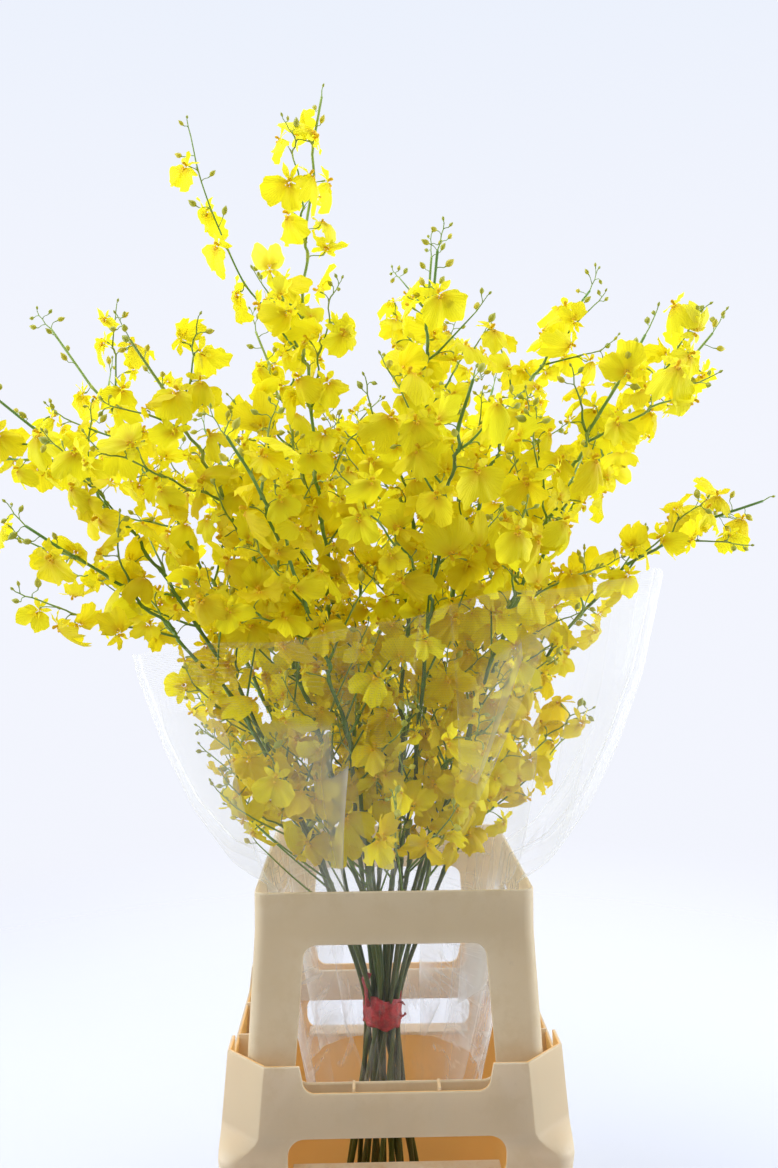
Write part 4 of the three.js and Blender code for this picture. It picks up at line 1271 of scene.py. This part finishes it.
def soften(piece, width=EDGE_ROUND):
    """Rounds every sharp edge and shades the faces between them flat."""
    modified(piece, ("BEVEL", {"width": width * MM, "segments": 3, "limit_method": "ANGLE",
                               "angle_limit": math.radians(SHARP)}))
    piece.data.polygons.foreach_set("use_smooth", np.ones(len(piece.data.polygons), bool))
    modified(piece, ("WEIGHTED_NORMAL", {"weight": 100}))


print("edges get a round of", EDGE_ROUND, "mm")

# %% Telling the inside from the outside
def carry(piece, name, values):
    """Gives each point of the mesh a number that a material can read."""
    layer = piece.data.attributes.new(name, "FLOAT", "POINT")
    layer.data.foreach_set("value", np.asarray(values, float))


def points_of(piece):
    """The mesh's points in millimetres."""
    flat = np.zeros(len(piece.data.vertices) * 3)
    piece.data.vertices.foreach_get("co", flat)
    return flat.reshape(-1, 3) / MM


def mark_inside(piece, rings):
    """1 on the skin that faces the middle of the bucket or collar, 0 on the outer one."""
    halves, corners, flats, heights = np.array(rings, float).T
    points = points_of(piece)
    x, y, z = np.abs(points[:, 0]), np.abs(points[:, 1]), points[:, 2]
    half = np.interp(z, heights, halves)
    cut = np.interp(z, heights, corners * (1 - CUT_SHARE + CUT_SHARE * flats))
    reach = np.maximum(np.maximum(x, y), x + y - half + cut)
    # the material paints this inner skin warmer, as painted light
    carry(piece, "inside", (reach < half - WALL * 0.6).astype(float))


print("the skins are", WALL, "mm apart")

# %% Mould the collar and the bucket
collar = lofted("windowed_collar", [square_outline(*r) for r in COLLAR_RINGS]
                + [square_outline(*thinner(r)) for r in COLLAR_RINGS[::-1]], loop=True)
cut_windows(collar, COLLAR_WINDOW)
soften(collar)
mark_inside(collar, COLLAR_RINGS)

bucket = lofted("flower_bucket", [square_outline(*r) for r in BUCKET_RINGS]
                + [square_outline(*thinner(r)) for r in BUCKET_RINGS[:0:-1]]
                + [square_outline(*thinner(BUCKET_RINGS[0], WALL))])
cut_windows(bucket, NECK_DIP, NECK_WINDOW)
soften(bucket)
mark_inside(bucket, BUCKET_RINGS)
print(triangles_of(collar), "and", triangles_of(bucket), "triangles of plastic")

# %% Ledges, ribs and sills inside the neck
LEDGE = dict(low=203, high=211.7, reach=148)
RIB = dict(places=(-31, 31), half=1.0, low=214, high=243.5, gap=0.8)
SILL = dict(half=76, far=128, near=108, low=178.3, high=181.2)
PRISM_FACES = ((3, 2, 1, 0), (4, 5, 6, 7), (0, 1, 5, 4), (1, 2, 6, 5), (2, 3, 7, 6), (3, 0, 4, 7))


def on_four_sides(name, prisms, edge):
    """Prisms with four corners at their foot and at their top, repeated on each side of the bucket."""
    points, faces = [], []
    for side in range(4):
        for prism in prisms:
            faces.extend([len(points) + k for k in loop] for loop in PRISM_FACES)
            corners = np.array([(x, y, z) for z, shape in prism for x, y in shape])
            points.extend(corners @ turned(side))
    piece = plain_object(name, points, faces)
    soften(piece, edge)
    return piece


def upright(shape, size):
    """A prism between the low and the high end of a piece."""
    return [(size["low"], shape), (size["high"], shape)]


def make_ledges():
    """A three-cornered shelf in each corner of the neck, which the collar stands on."""
    half, corner = BUCKET_RINGS[-2][0] - WALL / 2, BUCKET_RINGS[-2][1] - WALL / 2
    inner = LEDGE["reach"] * math.sqrt(2)
    shape = [(half, inner - half), (half, half - corner), (half - corner, half), (inner - half, half)]
    return on_four_sides("corner_ledges", [upright(shape, LEDGE)], 0.6)


def half_at(heights, rings):
    """Half the width at each height of a wall through these outlines."""
    halves, _, _, levels = zip(*rings)
    return np.interp(heights, levels, halves)


def make_ribs():
    """Two thin upright ribs behind each neck wall, which keep the collar from rattling."""
    heights = RIB["low"], RIB["high"]
    outer = half_at(heights, BUCKET_RINGS[-2:]) - WALL * 0.6
    inner = half_at(heights, COLLAR_RINGS[:2]) + RIB["gap"]
    prisms = []
    for place in RIB["places"]:
        low_x, high_x = place - RIB["half"], place + RIB["half"]
        prisms.append([(z, [(low_x, -far), (high_x, -far), (high_x, -near), (low_x, -near)])
                       for z, far, near in zip(heights, outer, inner)])
    return on_four_sides("neck_ribs", prisms, 0.4)


def make_sills():
    """A shelf inside each hand window's lower edge, which keeps the wall stiff there."""
    x, far, near = SILL["half"], SILL["far"], SILL["near"]
    shape = [(-x, -far), (x, -far), (x, -near), (-x, -near)]
    return on_four_sides("window_sills", [upright(shape, SILL)], 0.8)


ledges, ribs, sills = make_ledges(), make_ribs(), make_sills()
# how much of the inner skin's painted warm glow each part gets
for piece, inside in ((ledges, 1.0), (ribs, 0.4), (sills, 0.3)):
    carry(piece, "inside", np.full(len(piece.data.vertices), inside))
    print(piece.name, triangles_of(piece), "triangles")

# %% [markdown]
# ## Cream plastic
# The outside is a matt cream, painted darker than the plastic's own colour as painted shade, with
# faint streaks where water ran down, scuffs along the edges and a very fine moulded grain. The wall
# lets some light through and warms it. So part of the shader is translucent, and the inside is
# painted peach and orange as painted light, the glow of that light through the wall.


# %% Plastic material
PLASTIC_GLOW = 0.34  # the share of the surface that lets light through


def darker(colour, share):
    return tuple(channel * share for channel in colour)


def plastic_material(name, outer, inner, through):
    """Cream outside, darkened as painted shade, and warmer inside as painted light, where the light comes
    through the wall.
    """
    paint = Paint(name)
    inside = paint.carried("inside")
    cloud = paint.noise(9, 4)
    streak = paint.noise(26, 4, paint.place((1, 1, 0.12)))
    grain = paint.noise(1400, 2)
    worn = paint.noise(60, 5, roughness=0.7)
    edge = paint.node("NewGeometry", output="Pointiness").between(0.51, 0.56)
    body = paint.mix(cloud.between(0.35, 0.7) * 0.55, outer, darker(outer, 0.86))
    body = paint.mix(streak.between(0.55, 0.75) * 0.25, body, darker(outer, 0.74))
    # the inner skin's warmer colour is painted light, the glow of light through the wall
    painted_glow_lining = paint.mix(cloud.between(0.3, 0.7) * 0.6, inner, darker(inner, 0.85))
    body = paint.mix(inside, body, painted_glow_lining)
    body = paint.mix(edge * worn.between(0.35, 0.55) * 0.55, body, (0.86, 0.78, 0.62))
    colour = paint.mix(worn.between(0.66, 0.72) * 0.2, body, (0.25, 0.20, 0.14))
    normal = paint.bump(grain * 0.35 + worn * 0.5 + cloud, 0.0004, 0.35)
    shell = paint.shell(colour, 0.40 + worn * 0.22 + streak * 0.06, normal)
    pale = paint.lets_through((0.95, 0.90, 0.80), Normal=normal)
    painted_warm_glow = paint.lets_through(through, Normal=normal)
    # the light let through the inner skin is painted warmer, as painted light
    return paint.surface(paint.blend(PLASTIC_GLOW, shell, paint.blend(inside, pale, painted_warm_glow)))


# outer: the cream painted darker as painted shade; inner and through: the warm glow inside, painted light
COLLAR_PAINT = plastic_material(
    "collar_plastic", outer=(0.60, 0.475, 0.295), inner=(0.92, 0.78, 0.58), through=(1.0, 0.86, 0.62))
BUCKET_PAINT = plastic_material(
    "bucket_plastic", outer=(0.60, 0.505, 0.33), inner=(0.94, 0.54, 0.16), through=(1.0, 0.68, 0.24))
print("materials", COLLAR_PAINT.name, "and", BUCKET_PAINT.name)

# %% Plastic parts as finished pieces
for material, slot, pieces in ((COLLAR_PAINT, "collar_plastic", [collar]),
                               (BUCKET_PAINT, "bucket_plastic", [bucket, ledges, ribs, sills])):
    for piece in pieces:
        piece.data.materials.clear()
        piece.data.materials.append(material)
        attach(piece, "root")
    print(slot, "on", *(piece.name for piece in pieces))
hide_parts("collar")
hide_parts("bucket")

# %% [markdown]
# ## Film sleeve
# The sleeve is a bag of clear film about 0.04 mm thick, welded down both sides and open at both
# ends. It fans out over the collar's rim and is gathered loosely inside the collar. Its upper part
# is pricked with tiny holes in slanting rows, so that the flowers can breathe, and the lower part
# is plain. One open sheet of points follows the sleeve's outline, and soft folds and sharp creases
# push it in and out by a few millimetres.

# %% Folds and creases of the film
CREASES, CREASE_WIDTH, FOLD_MOST = 34, 0.016, 2.6
RIPPLES = [(3, 0.8), (7, 0.7), (13, 0.45), (22, 0.35)]  # how many round the sleeve, and how high


def folded(chance, angle, share):
    """How far the film is pushed in or out at each point, and how sharply it is creased there."""
    push, crease = np.zeros_like(share), np.zeros_like(share)
    for _ in range(CREASES):
        at, lean, bend = [chance.uniform(*ends) for ends in ((0, 2 * math.pi), (-0.9, 0.9), (-0.5, 0.5))]
        middle, length = chance.uniform(0.05, 1.0), chance.uniform(0.12, 0.4)
        past = share - middle
        off = np.angle(np.exp(1j * (angle - at - lean * past - bend * past ** 2)))
        along = np.exp(-(past / length) ** 2)
        line = np.exp(-np.abs(off) / chance.uniform(0.02, 0.06)) * along
        push += chance.uniform(-1.9, 1.7) * line
        sharp = np.exp(-(off / CREASE_WIDTH) ** 2) * along * chance.uniform(0.2, 1.0)
        crease = np.maximum(crease, sharp)
    for count, size in RIPPLES:
        push += size * np.sin(angle * count + share * chance.uniform(-6, 6) + chance.uniform(0, 6.3))
    return np.clip(push, -FOLD_MOST, FOLD_MOST), crease


print(CREASES, "creases and", len(RIPPLES), "waves of ripples")

# %% Shape of the film
FILM_COLUMNS, FILM_ROWS = 288, 96
FILM_SEED = 11
SLEEVE_HALF = 225  # half the width of the upper edge, which leans
RIM_Z, GATHER_Z = 382, 372  # where the collar's rim holds the film, and below which it is gathered
FOLD_RADIUS = 0.14  # metres of fold pattern for each radian round the sleeve
SEAM_WIDTH = 0.012  # in radians
FAN_Z = 345  # the painted highlight streaks inside the collar fan out from here
HOLED_BELOW = [(-230, 520), (-108, 510), (-45, 508), (-54, 470), (-36, 477), (7, 502), (42, 523), (69, 555),
               (101, 575), (230, 600)]  # x and height of the edge between pricked and plain film, in front
HAZE_HEIGHTS, HAZE = (300, 400, 470, 560), (0.8, 1.0, 0.95, 0.5)


def film_shape():
    """Points of the sleeve in rows from its lower to its upper edge, and what each carries."""
    angle = np.linspace(0, 2 * math.pi, FILM_COLUMNS, endpoint=False)
    c, s = np.cos(angle), np.sin(angle)
    share = np.linspace(0, 1, FILM_ROWS)[:, None] * np.ones(FILM_COLUMNS)
    wave = 2.2 * np.sin(angle * 5 + 1.0) + 1.6 * np.sin(angle * 11 + 2.0)
    top = SLEEVE_TOP + SLEEVE_LEAN * SLEEVE_HALF * c + wave
    z = SLEEVE_RINGS[0, 0] + (top - SLEEVE_RINGS[0, 0]) * share
    wide, deep, square = (np.interp(z, SLEEVE_RINGS[:, 0], SLEEVE_RINGS[:, k]) for k in (1, 2, 3))
    reach = ((np.abs(c) / wide) ** square + (np.abs(s) / deep) ** square) ** (-1 / square)
    push, crease = folded(np.random.RandomState(FILM_SEED), angle, share)
    held = np.where(z < GATHER_Z, 1.3, 1.0) * (1 - 0.82 * np.exp(-((z - RIM_Z) / 14) ** 2))
    reach = reach + push * held
    way = np.angle(np.exp(1j * angle))
    seam = sum(np.exp(-(off / SEAM_WIDTH) ** 2) for off in (way % math.pi, math.pi - np.abs(way)))
    x, y = reach * c, reach * s
    edge, height = np.array(HOLED_BELOW, float).T
    holed = np.clip((z - np.interp(x, edge, height)) / 4 + 0.5, 0, 1)
    aside = x - BUNCH["offset"]
    near_stems = np.exp(-(aside / 34) ** 4) * (y < 0) * (z < GATHER_Z)
    haze = (1 - holed) * np.interp(z, HAZE_HEIGHTS, HAZE) * (1 - 0.9 * near_stems)
    return np.stack([x, y, z], axis=2), dict(
        holed=holed, haze=haze, crease=crease, seam=np.broadcast_to(seam, z.shape),
        fan=np.arctan2(aside, FAN_Z - z), along=z / 1000, round=reach * angle / 1000,
        turn=angle * FOLD_RADIUS * np.ones_like(z), rim=np.clip((share - 0.985) / 0.015, 0, 1))


film_points, film_carries = film_shape()
film = Pieces(*film_carries)
film.grid(film_points, closed=True, **film_carries)
lowest, highest = film_points[..., 2].min(), film_points[..., 2].max()
print(film.count, "points of film from", lowest.round(), "to", highest.round(), "mm")


# %% Film material
PRICKED = 1850  # radians of the pricked pattern's waves for each metre


def facets(paint, flat, turn, stretch, scale):
    """Long patches with straight edges: each one's painted sheen from edge to edge, and painted highlights
    along its creased edges.
    """
    spread = {"Vector": flat, "Rotation": (0, 0, turn), "Scale": (1, stretch, 1)}
    vector = paint.node("Mapping", None, spread)

    def cells(output, **settings):
        settings = {"voronoi_dimensions": "2D", **settings}
        return paint.node("TexVoronoi", settings, {"Vector": vector, "Scale": scale}, output)

    edge = cells("Distance", feature="DISTANCE_TO_EDGE")
    tone = paint.node("SeparateColor", None, {0: cells("Color")})
    offset = paint.node("VectorMath", {"operation": "SUBTRACT"}, {0: vector, 1: cells("Position")})
    slope = (paint.node("SeparateXYZ", None, {0: offset}) * scale).between(-0.55, 0.75)
    # a painted sheen across each patch, and painted highlights along its edges
    return tone.between(0.35, 0.95) * slope, (1 - edge.between(0.0, 0.05)) * tone.between(0.5, 0.9)


def film_material():
    paint = Paint("clear_film")
    holed, haze, crease = paint.carried("holed"), paint.carried("haze"), paint.carried("crease")
    seam, rim = paint.carried("seam"), paint.carried("rim")
    along, round_it = paint.carried("along"), paint.carried("round")
    flat = paint.node("CombineXYZ", None, {"X": paint.carried("turn"), "Y": along})
    steep, steep_edges = facets(paint, flat, turn=0.16, stretch=0.13, scale=26)
    broad, broad_edges = facets(paint, flat, turn=-0.30, stretch=0.22, scale=15)
    cross, cross_edges = facets(paint, flat, turn=0.85, stretch=0.30, scale=24)
    patches = paint.noise(11, 2, flat)
    # painted highlight streaks that fan out across the film inside the collar
    fan_way = paint.node("CombineXYZ", None, {"X": paint.carried("fan") + cross * 0.06, "Y": along})
    fan_place = paint.node("Mapping", None, {"Vector": fan_way, "Scale": (1, 2.2, 1)})
    fan_highlights = paint.noise(15, 3, fan_place).between(0.54, 0.64)
    fan_highlights = fan_highlights * paint.noise(9, 2, flat).between(0.40, 0.55)
    low = (1 - along).between(0.60, 0.66)
    # painted sheen on the patches, and painted highlights along their edges
    lights = steep * 0.7 + broad * 0.8 + cross * patches.between(0.45, 0.65) * low
    edges = (steep_edges + broad_edges + cross_edges * low * 0.7) * patches.between(0.42, 0.60)
    rows, ranks = (round_it + along) * PRICKED, (round_it - along) * PRICKED
    dots = (rows.sine() * ranks.sine()).between(0.25, 0.75)
    facing = paint.node("LayerWeight", None, {"Blend": 0.3}, output="Facing")
    # the film's own haze, with the painted sheen laid over it
    haze_and_sheen = 0.012 + haze * (0.04 + low * 0.14) + lights * (0.03 + haze * (0.42 + low * 0.24))
    haze_and_sheen = haze_and_sheen + facing.between(0.45, 1.0) * 0.28
    # painted highlights along the patch edges, the fan streaks and the creases, with the welded seams and
    # the top edge
    seams_and_glints = edges * (0.10 + haze * (0.12 + low * 0.22)) + fan_highlights * (0.3 + haze * 0.7) * low * 0.28
    seams_and_glints = seams_and_glints + crease * 0.05 + seam * 0.45 + rim * 0.05
    alpha = (haze_and_sheen + seams_and_glints + holed * dots * 0.12).at_most(0.85)
    normal = paint.bump(steep + broad + cross, 0.0022, 0.6)
    shine = paint.shell((0.80, 0.81, 0.82), 0.22, normal)
    glow = paint.lets_through((0.76, 0.77, 0.77), Normal=normal)
    return paint.surface(paint.blend(alpha, paint.node("BsdfTransparent"), paint.blend(0.55, shine, glow)))


FILM_PAINT = film_material()
print("material", FILM_PAINT.name)

# %% The sleeve as a finished piece
sleeve = film.build("film_sleeve", FILM_PAINT)
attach(sleeve, "root")
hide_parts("sleeve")
print(triangles_of(sleeve), "triangles of film")

# %% [markdown]
# ## Red tape
# The bundle is held by a turn of red plastic tape at the height of the collar's window. It is wound
# a little askew, wrinkles where it is pulled tight, and its loose end stands off to the upper left.


# %% Shape of the tape
TAPE_COLUMNS, TAPE_SEED = 72, 5
TAPE_SKINS = [  # radius, height of the wrinkles, and heights of the rows
    (15.15, 0, (239, 247, 256, 263)), (16.1, 0.7, (263.6, 258, 252, 246, 240.5, 238.5))]
TAPE_MIDDLE = 250  # above this height the band leans
LOOSE_ENDS = [  # points along a strip, and its width
    ([(-18.5, -11.5, 256), (-20.5, -12.5, 263), (-22, -12, 270), (-22.5, -10.5, 277),
      (-20, -11.5, 284)], 6.5),
    ([(5, -11.5, 259), (8.2, -13.0, 259.5), (10.2, -12.4, 257.5)], 2.4),
    ([(6.0, -11, 248), (9.4, -11.6, 247.5), (11.2, -10.6, 249.5)], 2.8)]
STRIP_THICK = 0.3  # half of it


def tape_band():
    """Rows of a closed band with wrinkled edges, up its inner skin and down its outer one."""
    angle = np.linspace(0, 2 * math.pi, TAPE_COLUMNS, endpoint=False)
    c, s = np.cos(angle), np.sin(angle)
    rows = []
    for radius, wrinkle, heights in TAPE_SKINS:
        for z in heights:
            pull = wrinkle * np.sin(angle * 7 + z * 0.5) + 0.3 * np.sin(angle * 17 + z)
            askew = 1.6 * np.sin(angle * 2 + 0.6) + 0.8 * np.sin(angle * 7 + 2)
            askew = askew - 1.5 * c * (z > TAPE_MIDDLE)
            out = radius + np.clip(pull, -0.4, 0.8)
            rows.append(np.column_stack([BUNCH["offset"] + out * c, out * s, z + askew]))
    return np.array(rows + rows[:1])


def tape_strip(line, width):
    """Rows of a thin strip that twists along its line."""
    strip = []
    for k, point in enumerate(np.array(line, float)):
        turn = 0.5 + k * 0.7
        flat_way = np.array([math.cos(turn), math.sin(turn) * 0.6, 0.25])
        thick = unit(np.cross(flat_way, (0, 0.2, 1))) * STRIP_THICK
        half = unit(flat_way) * width / 2 * (1 if k else 0.9)
        strip.append([point - half - thick, point + half - thick,
                      point + half + thick, point - half + thick])
    return np.array(strip)


def tape_pieces():
    """The band and its loose ends, as closed thin strips."""
    pieces = Pieces("crumple")
    chance = np.random.RandomState(TAPE_SEED)
    rows = tape_band()
    pieces.grid(rows, closed=True, crumple=chance.uniform(0, 1, rows.shape[:2]))
    for line, width in LOOSE_ENDS:
        rows = tape_strip(line, width)
        pieces.grid(rows, closed=True, crumple=chance.uniform(0, 1, rows.shape[:2]))
        for first in (pieces.count - 4 * len(rows), pieces.count - 4):
            pieces.faces.append(np.array([[first, first + 1, first + 2, first + 3]]))
    return pieces


tape_mesh = tape_pieces()
print(tape_mesh.count, "points of tape")


# %% Tape material
def tape_material():
    paint = Paint("red_tape")
    crumple = paint.carried("crumple")
    cloud = paint.noise(160, 3)
    fine = paint.noise(520, 3, paint.place((1, 1, 2.5)))
    red = paint.mix(cloud.between(0.35, 0.65), (0.42, 0.011, 0.018), (0.20, 0.006, 0.010))
    red = paint.mix(crumple * fine.between(0.5, 0.7) * 0.5, red, (0.72, 0.09, 0.08))
    return paint.surface(paint.shell(red, 0.28 + fine * 0.25, paint.bump(fine + cloud, 0.0012, 0.7)))


tape = tape_mesh.build("tape_tie", tape_material())
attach(tape, "root")
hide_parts("tape_band")
print(triangles_of(tape), "triangles of tape")
